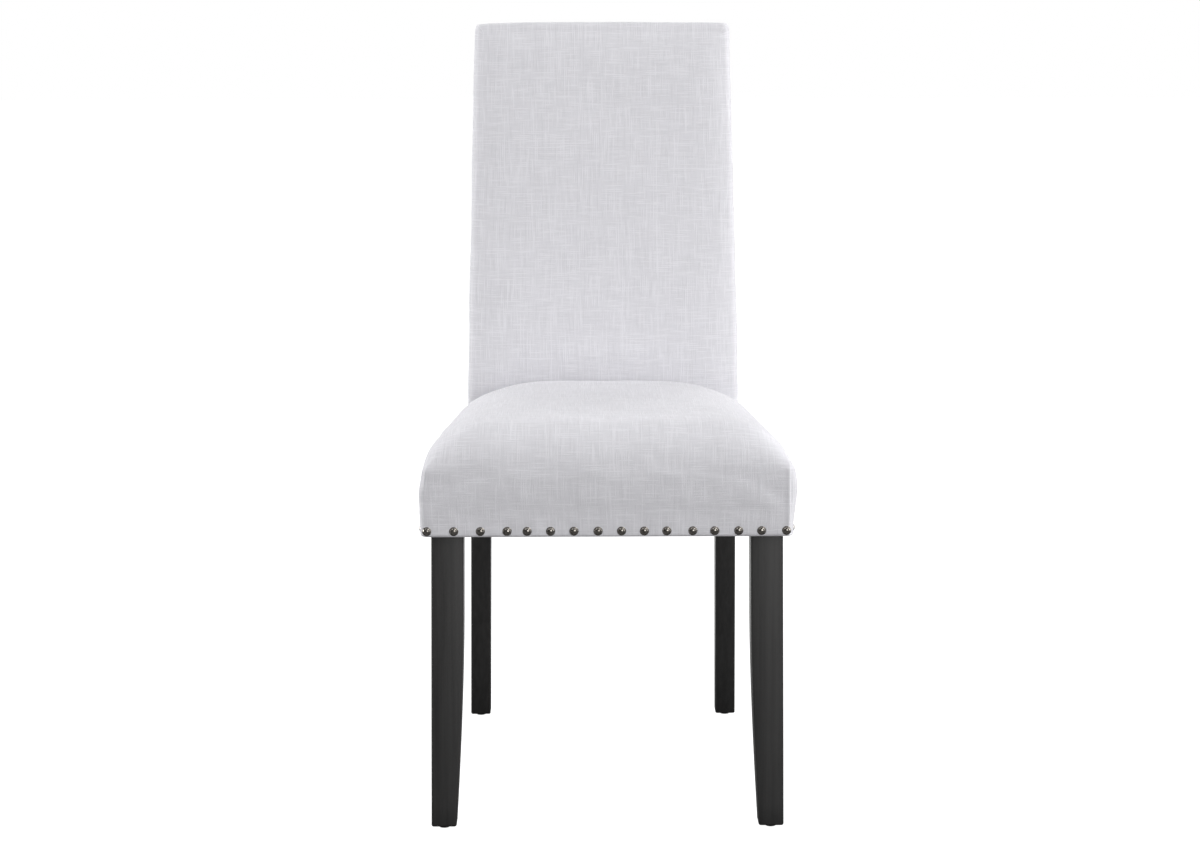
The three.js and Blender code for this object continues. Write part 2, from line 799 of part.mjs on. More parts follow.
function frontLeg(side) {
  const levels = legLevelShares.map((share) => share * legTaperStart);
  const rings = [
    legRing(side, woodBottom, legFootEase), legRing(side, woodBottom + legFootEase, 0),
    ...levels.map((z) => legRing(side, z, 0)), legRing(side, legTop, 0),
  ];
  const centre = (ring) => ring.reduce((sum, p) => sum.add(p), new THREE.Vector3())
    .multiplyScalar(1 / ring.length);
  const corners = [
    [gap, gap], [tongueU, gap], [tongueU, tongueV - tongueChamfer],
    [tongueU - tongueChamfer, tongueV], [gap, tongueV],
  ];
  const outline = corners.map(([u, v]) => cornerPlace(side, frontCornerY, 1, u, v));
  const tongue = raise(outline, legTop - overrun, tongueTop);
  const { place, axis } = legBolt(side);
  const pin = glidePlace(side, 'front');
  return loft(rings, centre(rings[0]), centre(rings[rings.length - 1]))
    .add(tongue)
    .subtract(rod(legBoltRadius + gap, -legBoltInWood - gap, overrun, place, axis))
    .subtract(glideBore(pin));
}

// Glides

function glidePlace(side, end) {
  const outer = seatFrontWidth / 2 - legSideInset + legCant * legTop;
  const half = (legSize - legFootTaper) / 2;
  if (end === 'front') return new THREE.Vector3(side * (outer - half), framePadding + half, 0);
  return new THREE.Vector3(side * (postOuter(0) - postThickness / 2), (postFront(0) + postRear(0)) / 2, 0);
}

const up = new THREE.Vector3(0, 0, 1);

function glide(place) {
  return turned([
    [0, 0], [glideRim, 0], [glideRadius, glideHeight / 2], [glideRadius, glideHeight],
    [glidePinRadius, glideHeight], [glidePinRadius, glideHeight + glidePinLength],
    [0, glideHeight + glidePinLength],
  ], place, up);
}

function glideBore(place) {
  return rod(glidePinRadius + gap, 0, glideHeight + glidePinLength + gap, place, up);
}

// Fasteners

function legStud(side) {
  const { place, axis } = legBolt(side);
  const end = legBoltFace + washerThickness + legNutHeight + 2 * gap + legBoltTail;
  return rod(legBoltRadius, -legBoltInWood, end, place, axis);
}

// A flat ring on an axis.
function ringOn(place, axis, outer, inner, from, thickness, sides) {
  return rod(outer, from, from + thickness, place, axis, sides)
    .subtract(rod(inner, from - overrun, from + thickness + overrun, place, axis));
}

function seatBolt(place) {
  const head = -seatBoltBlock - washerThickness - 2 * gap - gap;
  const end = railThickness + rearRailBack + seatBoltInPost - gap;
  return rod(seatBoltRadius, head - gap, end, place, seatBoltAxis)
    .add(rod(seatBoltHeadRadius, head - seatBoltHeadHeight, head, place, seatBoltAxis))
    .subtract(rod(seatBoltSocketRadius, head - seatBoltHeadHeight - overrun,
      head - seatBoltHeadHeight + seatBoltSocketDepth, place, seatBoltAxis, hexSides));
}

// Back frame

function postOutline() {
  const heights = stations(woodBottom, postTop);
  const rear = heights.map((z) => [postRear(z), z]);
  const front = heights.map((z) => [postFront(z), z]).reverse();
  return [...rear, ...front];
}

// Leans a solid's faces inwards as they rise, as the posts do.
function canted(body, side) {
  return body.transform([1, 0, 0, 0, 0, 1, 0, 0, -side * postCant, 0, 1, 0, 0, 0, 0, 1]);
}

const backRails = {
  back_lower_rail: { low: seatEdgeHeight + lowerRailRise, atRear: true },
  back_seat_rail: { low: backFoot + seatRailRise, atRear: false },
  back_middle_rail: { low: middleRailHeight, atRear: false },
  back_top_rail: { low: postTop - backRailHeight, atRear: false },
};

// A rail's outline between two heights, flush with the posts' front or rear edges.
function backRailOutline({ low, atRear }) {
  const heights = stations(low, low + backRailHeight);
  const face = (z) => (atRear ? postRear(z) - backRailThickness : postFront(z));
  const rear = heights.map((z) => [face(z) + backRailThickness, z]);
  const front = heights.map((z) => [face(z), z]).reverse();
  return [...rear, ...front];
}

function backTenon(side, rail, fit) {
  const z = rail.low + backRailHeight / 2;
  const face = rail.atRear ? postRear(z) - backRailThickness : postFront(z);
  const y = face + backRailThickness / 2;
  const inner = postOuter(z) - postThickness;
  const half = backRailHeight / 3;
  const low = new THREE.Vector3(inner - overrun, y - tenonThickness / 2 - fit, z - half - fit);
  const high = new THREE.Vector3(inner + tenonLength + fit, y + tenonThickness / 2 + fit, z + half + fit);
  if (side < 0) [low.x, high.x] = [-high.x, -low.x];
  return block(low, high);
}

function backRail(rail) {
  return run(backRailOutline(rail), -seatFrontWidth, seatFrontWidth)
    .intersect(betweenPosts(postThickness + gap, rail.low - overrun, rail.low + backRailHeight + overrun))
    .add(backTenon(SIDES.left, rail, 0))
    .add(backTenon(SIDES.right, rail, 0));
}

function rearPost(side) {
  const from = side > 0 ? postOuter(0) - postThickness : -postOuter(0);
  let post = canted(run(postOutline(), from, from + postThickness, postEdgeEase), side);
  for (const rail of Object.values(backRails)) post = post.subtract(backTenon(side, rail, gap));
  return boltWays(post).subtract(glideBore(glidePlace(side, 'rear')));
}

function boardSpace(fit) {
  const low = boardBottom - fit;
  const high = postTop - boardTopDrop + fit;
  const heights = stations(low, high);
  const rear = heights.map((z) => [postFront(z) - gap + fit, z]);
  const front = heights.map((z) => [postFront(z) - gap - boardThickness - fit, z]).reverse();
  return run([...rear, ...front], -seatFrontWidth, seatFrontWidth)
    .intersect(betweenPosts(boardInset - fit, low - overrun, high + overrun));
}

// The space that the back's frame takes inside the padding.
function backFrameSpace() {
  const low = seatEdgeHeight - overrun;
  const high = postTop + gap;
  const heights = stations(low, high);
  const rear = heights.map((z) => [postRear(z) + gap, z]);
  const front = heights.map((z) => [postFront(z) - gap, z]).reverse();
  return run([...rear, ...front], -seatFrontWidth, seatFrontWidth)
    .intersect(betweenPosts(-gap, low, high))
    .add(boardSpace(gap));
}

// What lies in front of the posts and below the back's front hem, where the seat box and its ledge stand.
function seatBoxSide() {
  const low = seatEdgeHeight - overrun;
  const ledge = shelfHeight + gap;
  const hem = seatShoulderHeight + gap;
  const edge = stations(low, ledge).map((z) => [postFront(z), z]);
  return run([[0, low], ...edge, [seatDepth, hem], [0, hem]], -seatFrontWidth, seatFrontWidth);
}

// Everything behind the rear edges of the posts.
function behindPosts(offset) {
  const low = seatEdgeHeight - overrun;
  const high = backTopHeight + overrun;
  const edge = stations(low, high).map((z) => [postRear(z) + offset, z]).reverse();
  const far = 2 * seatDepth;
  return run([[far, low], [far, high], ...edge], -seatFrontWidth, seatFrontWidth);
}

// The rear panel's window in the back's cloth, smaller by a fit.
function rearWindow(fit) {
  const high = backTopHeight - backTopRound - rearPanelMargin / 2 - fit;
  const low = seatEdgeHeight - overrun;
  return betweenPosts(rearPanelMargin - backPadSides + fit, low, high).intersect(behindPosts(gap));
}

const backPadding = backForm(clothFit, seatEdgeHeight + clothFit)
  .subtract(backFrameSpace())
  .subtract(seatBoxSide());
const backSkin = backForm(0, seatEdgeHeight).subtract(backForm(clothThickness, seatEdgeHeight - overrun));

function backFoam() {
  return backPadding.subtract(behindPosts(0));
}

function backRearWadding() {
  return backPadding.intersect(behindPosts(gap)).intersect(betweenPosts(gap, seatEdgeHeight, postTop));
}

// The whole chair

for (const [name, side] of Object.entries(SIDES)) {
  add(`front_leg_${name}`, frontLeg(side), 'blackWood');
  add(`rear_post_${name}`, rearPost(side), 'blackWood');
  add(`seat_side_rail_${name}`, sideRail(name, side), 'bareWood');
  add(`corner_block_front_${name}`, frontBlock(side), 'bareWood');
  add(`corner_block_rear_${name}`, rearBlock(side), 'bareWood');
  add(`glide_front_${name}`, glide(glidePlace(side, 'front')), 'glide');
  add(`glide_rear_${name}`, glide(glidePlace(side, 'rear')), 'glide');
  const { place, axis } = legBolt(side);
  const nutStart = legBoltFace + washerThickness + 2 * gap;
  add(`leg_bolt_${name}`, legStud(side), 'steel');
  add(`leg_washer_${name}`, ringOn(place, axis, legWasherRadius, legBoltRadius + gap,
    legBoltFace + gap, washerThickness, roundSides), 'steel');
  add(`leg_nut_${name}`, ringOn(place, axis, legNutRadius, legBoltRadius + gap,
    nutStart, legNutHeight, hexSides), 'steel');
}

for (const { name, place } of seatBoltPlaces) {
  const washerStart = -seatBoltBlock - gap - washerThickness;
  add(`seat_bolt_${name}`, seatBolt(place), 'steel');
  add(`seat_washer_${name}`, ringOn(place, seatBoltAxis, seatWasherRadius, seatBoltRadius + gap,
    washerStart, washerThickness, roundSides), 'steel');
}

add('seat_front_rail', frontRail(), 'bareWood');
add('seat_rear_rail', rearRail(), 'bareWood');
add('seat_deck', deck(), 'plywood');
add('seat_foam', seatFoam(), 'foam');
add('seat_cover', seatCover(), 'cloth');
add('dust_cover', dustCover(), 'darkCloth');
frontNails.forEach(({ place, outward }, k) => {
  add(`seat_nail_${String(k + 1).padStart(2, '0')}`, nail(place, outward), 'gunmetal');
});

for (const [name, rail] of Object.entries(backRails)) add(name, backRail(rail), 'bareWood');
add('back_board', boardSpace(0), 'plywood');
add('back_foam', backFoam(), 'foam');
add('back_rear_wadding', backRearWadding(), 'wadding');
add('back_cover', backSkin.subtract(rearWindow(0)).subtract(seatBoxSide()), 'cloth');
add('back_rear_panel', backSkin.intersect(rearWindow(gap)), 'cloth');

// The origin is on the floor, under the middle of the chair.
const bounds = new THREE.Box3().setFromObject(chair);
const middle = bounds.getCenter(new THREE.Vector3());
chair.position.set(-middle.x, -middle.y, -bounds.min.z);

export default chair;
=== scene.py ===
"""Looks of a dining chair: a padded seat box and a high padded back in pale cloth, on satin black legs."""

import json
import logging
import math
from dataclasses import dataclass, replace
from enum import Enum
from functools import partial
from typing import Callable, Sequence

import bmesh
import bpy
import numpy as np
from mathutils import Matrix, Vector

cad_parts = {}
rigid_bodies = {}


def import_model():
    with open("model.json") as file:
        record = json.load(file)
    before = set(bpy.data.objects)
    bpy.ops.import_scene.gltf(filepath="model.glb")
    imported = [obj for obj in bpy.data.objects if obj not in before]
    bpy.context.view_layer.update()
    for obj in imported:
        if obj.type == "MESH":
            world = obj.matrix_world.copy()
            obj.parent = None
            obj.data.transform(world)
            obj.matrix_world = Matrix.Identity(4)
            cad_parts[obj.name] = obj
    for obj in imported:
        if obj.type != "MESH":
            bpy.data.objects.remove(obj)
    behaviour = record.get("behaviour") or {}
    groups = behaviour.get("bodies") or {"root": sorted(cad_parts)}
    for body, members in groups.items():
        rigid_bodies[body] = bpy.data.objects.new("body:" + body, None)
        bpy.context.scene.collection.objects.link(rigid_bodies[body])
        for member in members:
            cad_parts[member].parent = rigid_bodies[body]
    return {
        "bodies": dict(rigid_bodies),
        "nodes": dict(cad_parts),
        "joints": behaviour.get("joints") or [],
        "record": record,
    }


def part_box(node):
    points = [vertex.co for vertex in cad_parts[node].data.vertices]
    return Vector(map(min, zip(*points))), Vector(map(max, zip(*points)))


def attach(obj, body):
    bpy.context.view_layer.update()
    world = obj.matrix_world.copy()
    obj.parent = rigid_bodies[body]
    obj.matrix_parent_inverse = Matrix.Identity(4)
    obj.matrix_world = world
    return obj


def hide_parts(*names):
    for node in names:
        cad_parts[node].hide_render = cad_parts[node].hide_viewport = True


log = logging.getLogger("chair")

Array = np.ndarray
Material = bpy.types.Material
Piece = bpy.types.Object
Socket = bpy.types.NodeSocket
Pair = tuple[float, float]
Triple = Colour = tuple[float, float, float]
Steps = tuple[float, ...]


class Side(Enum):
    """The chair's two sides, as seen from its front."""

    LEFT = -1
    RIGHT = 1

    @property
    def word(self) -> str:
        """The side's word in the names of pieces."""
        return self.name.lower()

    def span(self, first: float, second: float) -> Pair:
        """The lower and the higher X of two distances from the chair's middle on this side."""
        low, high = sorted((self.value * first, self.value * second))
        return low, high


# Sums that several pieces share


def share_of(value: Array) -> Array:
    """Limit values to between 0 and 1."""
    return np.clip(value, 0.0, 1.0)


def ramp(distance: Array, ease: float) -> Array:
    """Rise from nothing before a bend to a straight slope after it.

    Args:
        distance: how far past the bend each place is.
        ease: the length on both sides of the bend over which it is rounded.

    Returns:
        The distance past the bend, rounded near it.
    """
    distance = np.asarray(distance, dtype=float)
    eased = (distance + ease) ** 2 / (4 * ease)
    return np.where(distance <= -ease, 0.0, np.where(distance >= ease, distance, eased))


def fullness(distance: Array, rounding: Array | float) -> Array:
    """How full a cushion is at a distance in from an edge that is rounded over some length."""
    return np.sqrt(1 - (1 - share_of(np.asarray(distance) / rounding)) ** 2)


def smooth_step(value: Array) -> Array:
    """A smooth rise from 0 to 1."""
    held = share_of(value)
    return held * held * (3 - 2 * held)


def bell(distance: Array, width: float) -> Array:
    """A bell curve over a distance: 1 at its middle and almost nothing past twice its width."""
    return np.exp(-(distance / width) ** 2)


def hump(distance: Array, reach: Array | float) -> Array:
    """A soft hump over a distance: 1 at its middle and nothing from its reach on."""
    return np.cos(share_of(np.abs(distance) / reach) * math.pi / 2) ** 2


@dataclass(frozen=True)
class ChairLines:
    """The lines that several pieces share, in metres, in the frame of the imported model.

    Depths are measured from the seat's front cloth, which stands at front_y in the frame.
    """

    front_y: float
    seat_front_width: float = 0.457
    seat_rear_width: float = 0.398
    seat_depth: float = 0.440
    seat_crown: float = 0.508
    seat_shoulder: float = 0.449
    shelf: float = 0.4423
    seat_edge: float = 0.3694
    side_round_front: float = 0.086
    side_round_rear: float = 0.136
    front_round: float = 0.046
    rear_round: float = 0.026
    bow_out: float = 0.002
    wall_bulge: float = 0.0016
    cloth: float = 0.0015
    fit: float = 0.0003
    contact: float = 0.0002
    padding: float = 0.0059
    knee_y: float = 0.4504
    knee_z: float = 0.469
    ease: float = 0.030
    recline: float = 0.2474
    rake: float = 0.2737
    foot_depth: float = 0.032
    knee_depth: float = 0.044
    top_depth: float = 0.040
    post_top: float = 0.970
    foot_half: float = 0.190
    cant: float = 0.0175
    post_thickness: float = 0.028
    bend_z: float = 0.510
    top: float = 0.990
    top_crown: float = 0.0015
    pad_sides: float = 0.004
    pad_rear: float = 0.0045
    pillow: float = 0.003
    pillow_rise: float = 0.090
    edge_round: float = 0.011

    @classmethod
    def from_frame(cls) -> "ChairLines":
        """Take the seat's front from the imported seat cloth."""
        return cls(front_y=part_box("seat_cover")[0].y + cls.wall_bulge)

    @property
    def seat_rear(self) -> float:
        """Depth of the seat cushion's rear edge, just clear of the back's cloth."""
        return self.seat_depth - self.contact

    @property
    def back_top(self) -> float:
        """Height of the back's front where its top edge starts to round."""
        return self.top - self.top_crown - self.edge_round

    @property
    def taper(self) -> float:
        """How fast the seat narrows with depth, on each side."""
        return (self.seat_front_width - self.seat_rear_width) / 2 / self.seat_depth

    def flank(self, y: Array) -> Array:
        """Half width between the seat's flanks at a depth."""
        return self.seat_front_width / 2 - self.taper * np.asarray(y)

    def bow(self, y: Array) -> Array:
        """How far the seat's flanks bow out at a depth."""
        along = share_of(np.asarray(y) / float(self.seat_plane(self.seat_edge)))
        return self.bow_out * 4 * along * (1 - along)

    def seat_plane(self, z: Array) -> Array:
        """Depth of the seat's rear wall where it meets the posts."""
        return self.knee_y + self.rake * (self.knee_z - np.asarray(z)) - self.fit

    def post_front(self, z: Array) -> Array:
        """Depth of the rear post's front edge at a height."""
        return (self.knee_y + self.recline * ramp(z - self.knee_z, self.ease)
                + self.rake * ramp(self.knee_z - z, self.ease))

    def post_rear(self, z: Array) -> Array:
        """Depth of the rear post's rear edge.

        Args:
            z: heights.

        Returns:
            The depth at each height.
        """
        z = np.asarray(z, dtype=float)
        below = self.foot_depth + (self.knee_depth - self.foot_depth) * share_of(z / self.knee_z)
        rise = share_of((z - self.knee_z) / (self.post_top - self.knee_z))
        above = self.knee_depth + (self.top_depth - self.knee_depth) * rise
        return self.post_front(z) + np.where(z < self.knee_z, below, above)

    def post_outer(self, z: Array) -> Array:
        """Half the width over the posts' outer faces at a height."""
        return self.foot_half - self.cant * np.asarray(z)

    def back_front(self, z: Array) -> Array:
        """Depth of the back's front cloth, without its pillow."""
        return self.seat_depth + self.contact + self.recline * ramp(np.asarray(z) - self.bend_z, self.ease)

    def back_rear(self, z: Array) -> Array:
        """Depth of the back's rear cloth."""
        return self.post_rear(z) + self.pad_rear

    def back_half(self, z: Array) -> Array:
        """Half the width of the back over its cloth."""
        return self.post_outer(z) + self.pad_sides


# Materials


class Nodes:
    """A material's node tree, with short calls that add and join its nodes."""

    def __init__(self, name: str) -> None:
        """Start an empty material with its shader and output.

        Args:
            name: the material's name.
        """
        self.material = bpy.data.materials.new(name)
        self.material.use_nodes = True
        self.tree = self.material.node_tree
        self.tree.nodes.clear()
        self.shader = self.add("ShaderNodeBsdfPrincipled")
        self.output = self.add("ShaderNodeOutputMaterial")
        self.link(self.shader.outputs["BSDF"], self.output.inputs["Surface"])

    def add(self, kind: str, inputs: dict[str, object] | None = None, **settings: object) -> bpy.types.Node:
        """Add a node, set its plain settings, and set or join its sockets.

        Args:
            kind: the node's type.
            inputs: for each named socket a number, a colour or another node's socket.
            settings: attributes of the node.

        Returns:
            The new node.
        """
        node = self.tree.nodes.new(kind)
        for key, value in settings.items():
            setattr(node, key, value)
        for name, value in (inputs or {}).items():
            self.feed(node.inputs[name], value)
        return node

    def link(self, source: Socket, target: Socket) -> None:
        """Join one socket to another."""
        self.tree.links.new(source, target)

    def feed(self, target: Socket, value: object) -> None:
        """Give a socket a number, or join it to another socket."""
        if isinstance(value, Socket):
            self.link(value, target)
        else:
            target.default_value = value

    def sum(self, kind: str, *values: object) -> Socket:
        """Work out a sum of numbers or sockets.

        Args:
            kind: the Math node's operation.
            values: numbers or sockets.

        Returns:
            The result's socket.
        """
        node = self.add("ShaderNodeMath", operation=kind)
        for socket, value in zip(node.inputs, values):
            self.feed(socket, value)
        return node.outputs[0]

    def blend(self, *parts: tuple[object, float]) -> Socket:
        """Add up several sockets.

        Args:
            parts: each socket with its share in the sum.

        Returns:
            The sum's socket.
        """
        total, *others = [self.sum("MULTIPLY", socket, share) for socket, share in parts]
        for other in others:
            total = self.sum("ADD", total, other)
        return total

    def spread(self, value: object, low: float, high: float, to_low: float = 0.0,
               to_high: float = 1.0) -> Socket:
        """Map a range of values to another range, held at its ends.

        Args:
            value: the socket to map.
            low: start of its range.
            high: end of its range.
            to_low: what the start becomes.
            to_high: what the end becomes.

        Returns:
            The mapped socket.
        """
        ends = {"Value": value, "From Min": low, "From Max": high, "To Min": to_low, "To Max": to_high}
        return self.add("ShaderNodeMapRange", ends).outputs["Result"]

    def places(self, scale: Sequence[float] = (1, 1, 1)) -> Socket:
        """Object coordinates, stretched by a scale."""
        coordinates = self.add("ShaderNodeTexCoord").outputs["Object"]
        return self.add("ShaderNodeMapping", {"Vector": coordinates, "Scale": tuple(scale)}).outputs["Vector"]

    def split(self, vector: Socket) -> list[Socket]:
        """A vector's parts along X, Y and Z."""
        return list(self.add("ShaderNodeSeparateXYZ", {"Vector": vector}).outputs)

    def noise(self, scale: float, detail: float, roughness: float = 0.5, at: Socket | None = None) -> Socket:
        """Cloudy noise.

        Args:
            scale: its scale.
            detail: how many octaves it has.
            roughness: how strong the finer octaves are.
            at: where the noise is read, in place of plain object coordinates.

        Returns:
            The noise's value, from 0 to 1.
        """
        settings = {"Vector": at or self.places(), "Scale": scale, "Detail": detail, "Roughness": roughness}
        return self.add("ShaderNodeTexNoise", settings).outputs["Fac"]

    def tint(self, factor: object, dark: Colour, light: Colour) -> Socket:
        """A colour between two, by a factor.

        Args:
            factor: 0 for the dark colour and 1 for the light one.
            dark: the first colour.
            light: the second colour.

        Returns:
            The colour's socket.
        """
        ends = {"Factor": factor, "A": (*dark, 1), "B": (*light, 1)}
        return self.add("ShaderNodeMix", ends, data_type="RGBA").outputs["Result"]

    def bump(self, height: Socket, distance: float, strength: float = 1.0,
             under: Socket | None = None) -> Socket:
        """A bump of a height, on top of another one.

        Args:
            height: the height's socket, from 0 to 1.
            distance: the height of 1, in metres.
            strength: how much of the bump shows.
            under: a normal that this bump stands on.

        Returns:
            The bumped normal.
        """
        node = self.add("ShaderNodeBump", {"Strength": strength, "Distance": distance, "Height": height})
        if under is not None:
            self.link(under, node.inputs["Normal"])
        return node.outputs["Normal"]

    def set(self, **sockets: object) -> None:
        """Set or join the shader's sockets, named with underscores for spaces."""
        for name, value in sockets.items():
            self.feed(self.shader.inputs[name.replace("_", " ")], value)


@dataclass(frozen=True)
class LinenCloth:
    """Pale plain-weave cloth with slubs, drawn on the UV map that follows each piece in metres."""

    pale: Colour = (0.800, 0.793, 0.827)
    deep: Colour = (0.648, 0.642, 0.672)
    yarn: float = 0.00092
    drift: float = 0.004
    slub_width: float = 0.00135
    warp_slub: float = 0.040
    weft_slub: float = 0.032
    row_gap: float = 7.31
    own_tone: float = 0.04
    patch: float = 0.012
    patch_stretch: float = 1.6
    patch_band: Pair = (0.46, 0.66)
    ruled: float = 0.10
    thick_band: Pair = (0.54, 0.70)
    thin_band: Pair = (0.44, 0.28)
    bump_depth: float = 0.00020

    def yarns(self, nodes: Nodes, across: object, along: object, seed: float,
              length: float) -> tuple[Socket, Socket, Socket]:
        """One set of yarns: how thick each yarn is at each place, its rounded section and its number.

        Args:
            nodes: the material's nodes.
            across: distance across the yarns.
            along: distance along them.
            seed: an offset that makes each set its own.
            length: how long a slub is.

        Returns:
            The slub's strength and the yarn's section, both from 0 to 1, and the yarn's number.
        """
        count = nodes.sum("DIVIDE", across, self.yarn)
        index = nodes.sum("FLOOR", nodes.sum("DIVIDE", across, self.slub_width))
        place = nodes.add("ShaderNodeCombineXYZ", {
            "X": nodes.sum("MULTIPLY_ADD", index, self.row_gap, seed),
            "Y": nodes.sum("DIVIDE", along, length)})
        number = {"W": nodes.sum("ADD", index, seed)}
        own = nodes.add("ShaderNodeTexWhiteNoise", number, noise_dimensions="1D")
        tone = nodes.spread(own.outputs["Value"], 0.0, 1.0, -self.own_tone, self.own_tone)
        slub = nodes.sum("ADD", nodes.noise(1.0, 1.0, at=place.outputs["Vector"]), tone)
        field = nodes.add("ShaderNodeCombineXYZ", {
            "X": nodes.sum("DIVIDE", across, self.patch),
            "Y": nodes.sum("DIVIDE", along, self.patch_stretch * self.patch),
            "Z": seed})
        cloud = nodes.noise(1.0, 1.0, at=field.outputs["Vector"])
        amount = nodes.spread(cloud, *self.patch_band, 0.0, self.ruled)
        odd = nodes.spread(nodes.sum("FLOORED_MODULO", index, 2.0), 0.0, 1.0, -1.0, 1.0)
        slub = nodes.sum("ADD", slub, nodes.sum("MULTIPLY", odd, amount))
        turn = nodes.sum("MULTIPLY", nodes.sum("FRACT", count), math.pi)
        return slub, nodes.sum("SINE", turn), nodes.sum("FLOOR", count)

    def make(self) -> Material:
        """Build the material.

        Returns:
            The cloth's material.
        """
        nodes = Nodes("linen_cloth")
        flat_u, flat_v, _ = nodes.split(nodes.add("ShaderNodeUVMap", uv_map="cloth").outputs["UV"])
        wander = nodes.noise(9.0, 1.0)
        drift = nodes.sum("MULTIPLY", nodes.sum("SUBTRACT", wander, 0.5), self.drift)
        u, v = nodes.sum("ADD", flat_u, drift), nodes.sum("ADD", flat_v, drift)
        warp_slub, warp_round, warp_number = self.yarns(nodes, u, v, 3.7, self.warp_slub)
        weft_slub, weft_round, weft_number = self.yarns(nodes, v, u, 91.3, self.weft_slub)
        over = nodes.sum("FLOORED_MODULO", nodes.sum("ADD", warp_number, weft_number), 2.0)
        weave = nodes.sum("MAXIMUM", nodes.sum("MULTIPLY", warp_round, over),
                          nodes.sum("MULTIPLY", weft_round, nodes.sum("SUBTRACT", 1.0, over)))
        slubs = nodes.sum("MAXIMUM", nodes.spread(warp_slub, *self.thick_band, 0.0, 0.9),
                          nodes.spread(weft_slub, *self.thick_band, 0.0, 0.85))
        thin = nodes.sum("MAXIMUM", nodes.spread(warp_slub, *self.thin_band, 0.0, 1.0),
                         nodes.spread(weft_slub, *self.thin_band, 0.0, 0.8))
        cloud = nodes.spread(nodes.noise(26.0, 3.0), 0.3, 0.7)
        full = nodes.sum("SUBTRACT", 1.0, thin)
        tone = nodes.blend((weave, 0.22), (slubs, 0.46), (full, 0.28), (cloud, 0.08))
        height = nodes.blend((weave, 0.55), (slubs, 0.45))
        nodes.set(Base_Color=nodes.tint(tone, self.deep, self.pale), Roughness=0.9,
                  Sheen_Weight=0.12, Sheen_Roughness=0.45, Specular_IOR_Level=0.25,
                  Normal=nodes.bump(height, self.bump_depth, 0.75))
        return nodes.material


@dataclass(frozen=True)
class BlackWood:
    """Satin black stain over wood whose grain runs up the legs, duller towards the floor, with painted shade
    that darkens its colour towards the floor.
    """

    dark: Colour = (0.0050, 0.0048, 0.0047)
    light: Colour = (0.0325, 0.0313, 0.0307)
    # knee and rise: painted shade, the colour climbs from the dark end at the floor to rise at knee height;
    # dull adds roughness towards the floor
    knee: float = 0.30
    rise: float = 0.62
    grain: float = 0.38
    dull: float = 0.16

    def make(self) -> Material:
        """Build the material.

        Returns:
            The legs' material.
        """
        nodes = Nodes("black_wood")
        grain = nodes.noise(1.0, 5.0, 0.6, nodes.places((190, 190, 5)))
        pores = nodes.noise(1.0, 2.0, at=nodes.places((900, 900, 16)))
        lacquer = nodes.noise(160.0, 2.0)
        height = nodes.split(nodes.places())[2]
        # painted shade: darker towards the floor, added to the grain's own tone
        factor = nodes.sum("ADD", nodes.spread(height, 0.0, self.knee, 0.0, self.rise),
                           nodes.spread(grain, 0.35, 0.65, 0.0, self.grain))
        rough = nodes.sum("ADD", nodes.spread(grain, 0.3, 0.7, 0.34, 0.44),
                          nodes.spread(lacquer, 0.3, 0.7, 0.0, 0.05))
        rough = nodes.sum("ADD", rough, nodes.spread(height, 0.0, self.knee, self.dull, 0.0))
        relief = nodes.bump(nodes.spread(pores, 0.30, 0.42), 0.00006, 0.6)
        nodes.set(Base_Color=nodes.tint(factor, self.dark, self.light), Roughness=rough,
                  Specular_IOR_Level=0.40, Coat_Weight=0.22, Coat_Roughness=0.28,
                  Normal=nodes.bump(grain, 0.00010, 0.5, relief))
        return nodes.material


@dataclass(frozen=True)
class BareWood:
    """Bare hardwood of the hidden frame, or plywood with its glued layers."""

    name: str = "bare_wood"
    dark: Colour = (0.36, 0.20, 0.085)
    light: Colour = (0.56, 0.36, 0.18)
    stretch: Triple = (6, 120, 120)
    layers: float = 0.0

    def make(self) -> Material:
        """Build the material.

        Returns:
            The wood's material.
        """
        nodes = Nodes(self.name)
        grain = nodes.noise(1.0, 6.0, 0.62, nodes.places(self.stretch))
        factor = nodes.spread(grain, 0.32, 0.68)
        if self.layers:
            height = nodes.split(nodes.places())[2]
            level = nodes.sum("FRACT", nodes.sum("DIVIDE", height, self.layers))
            layer = nodes.sum("GREATER_THAN", level, 0.5)
            factor = nodes.sum("MULTIPLY", factor, nodes.spread(layer, 0.0, 1.0, 0.7))
        nodes.set(Base_Color=nodes.tint(factor, self.dark, self.light),
                  Roughness=nodes.spread(grain, 0.2, 0.8, 0.6, 0.8), Normal=nodes.bump(grain, 0.0003, 0.6))
        return nodes.material


@dataclass(frozen=True)
class CloudyFinish:
    """A plain metal or plastic that is a little uneven in tone, gloss and surface.

    cloud and fine give the scale and the detail of the noise in its tone and on its surface.
    """

    name: str
    dark: Colour
    light: Colour
    gloss: Pair
    cloud: Pair
    depth: float
    strength: float = 0.5
    fine: Pair | None = None
    tone_band: Pair = (0.0, 1.0)
    metal: float = 1.0

    def make(self) -> Material:
        """Build the material.

        Returns:
            The metal's or plastic's material.
        """
        nodes = Nodes(self.name)
        cloud = nodes.noise(*self.cloud)
        fine = nodes.noise(*self.fine) if self.fine else cloud
        nodes.set(Base_Color=nodes.tint(nodes.spread(cloud, *self.tone_band), self.dark, self.light),
                  Metallic=self.metal, Roughness=nodes.spread(cloud, 0.3, 0.7, *self.gloss),
                  Normal=nodes.bump(fine, self.depth, self.strength))
        return nodes.material


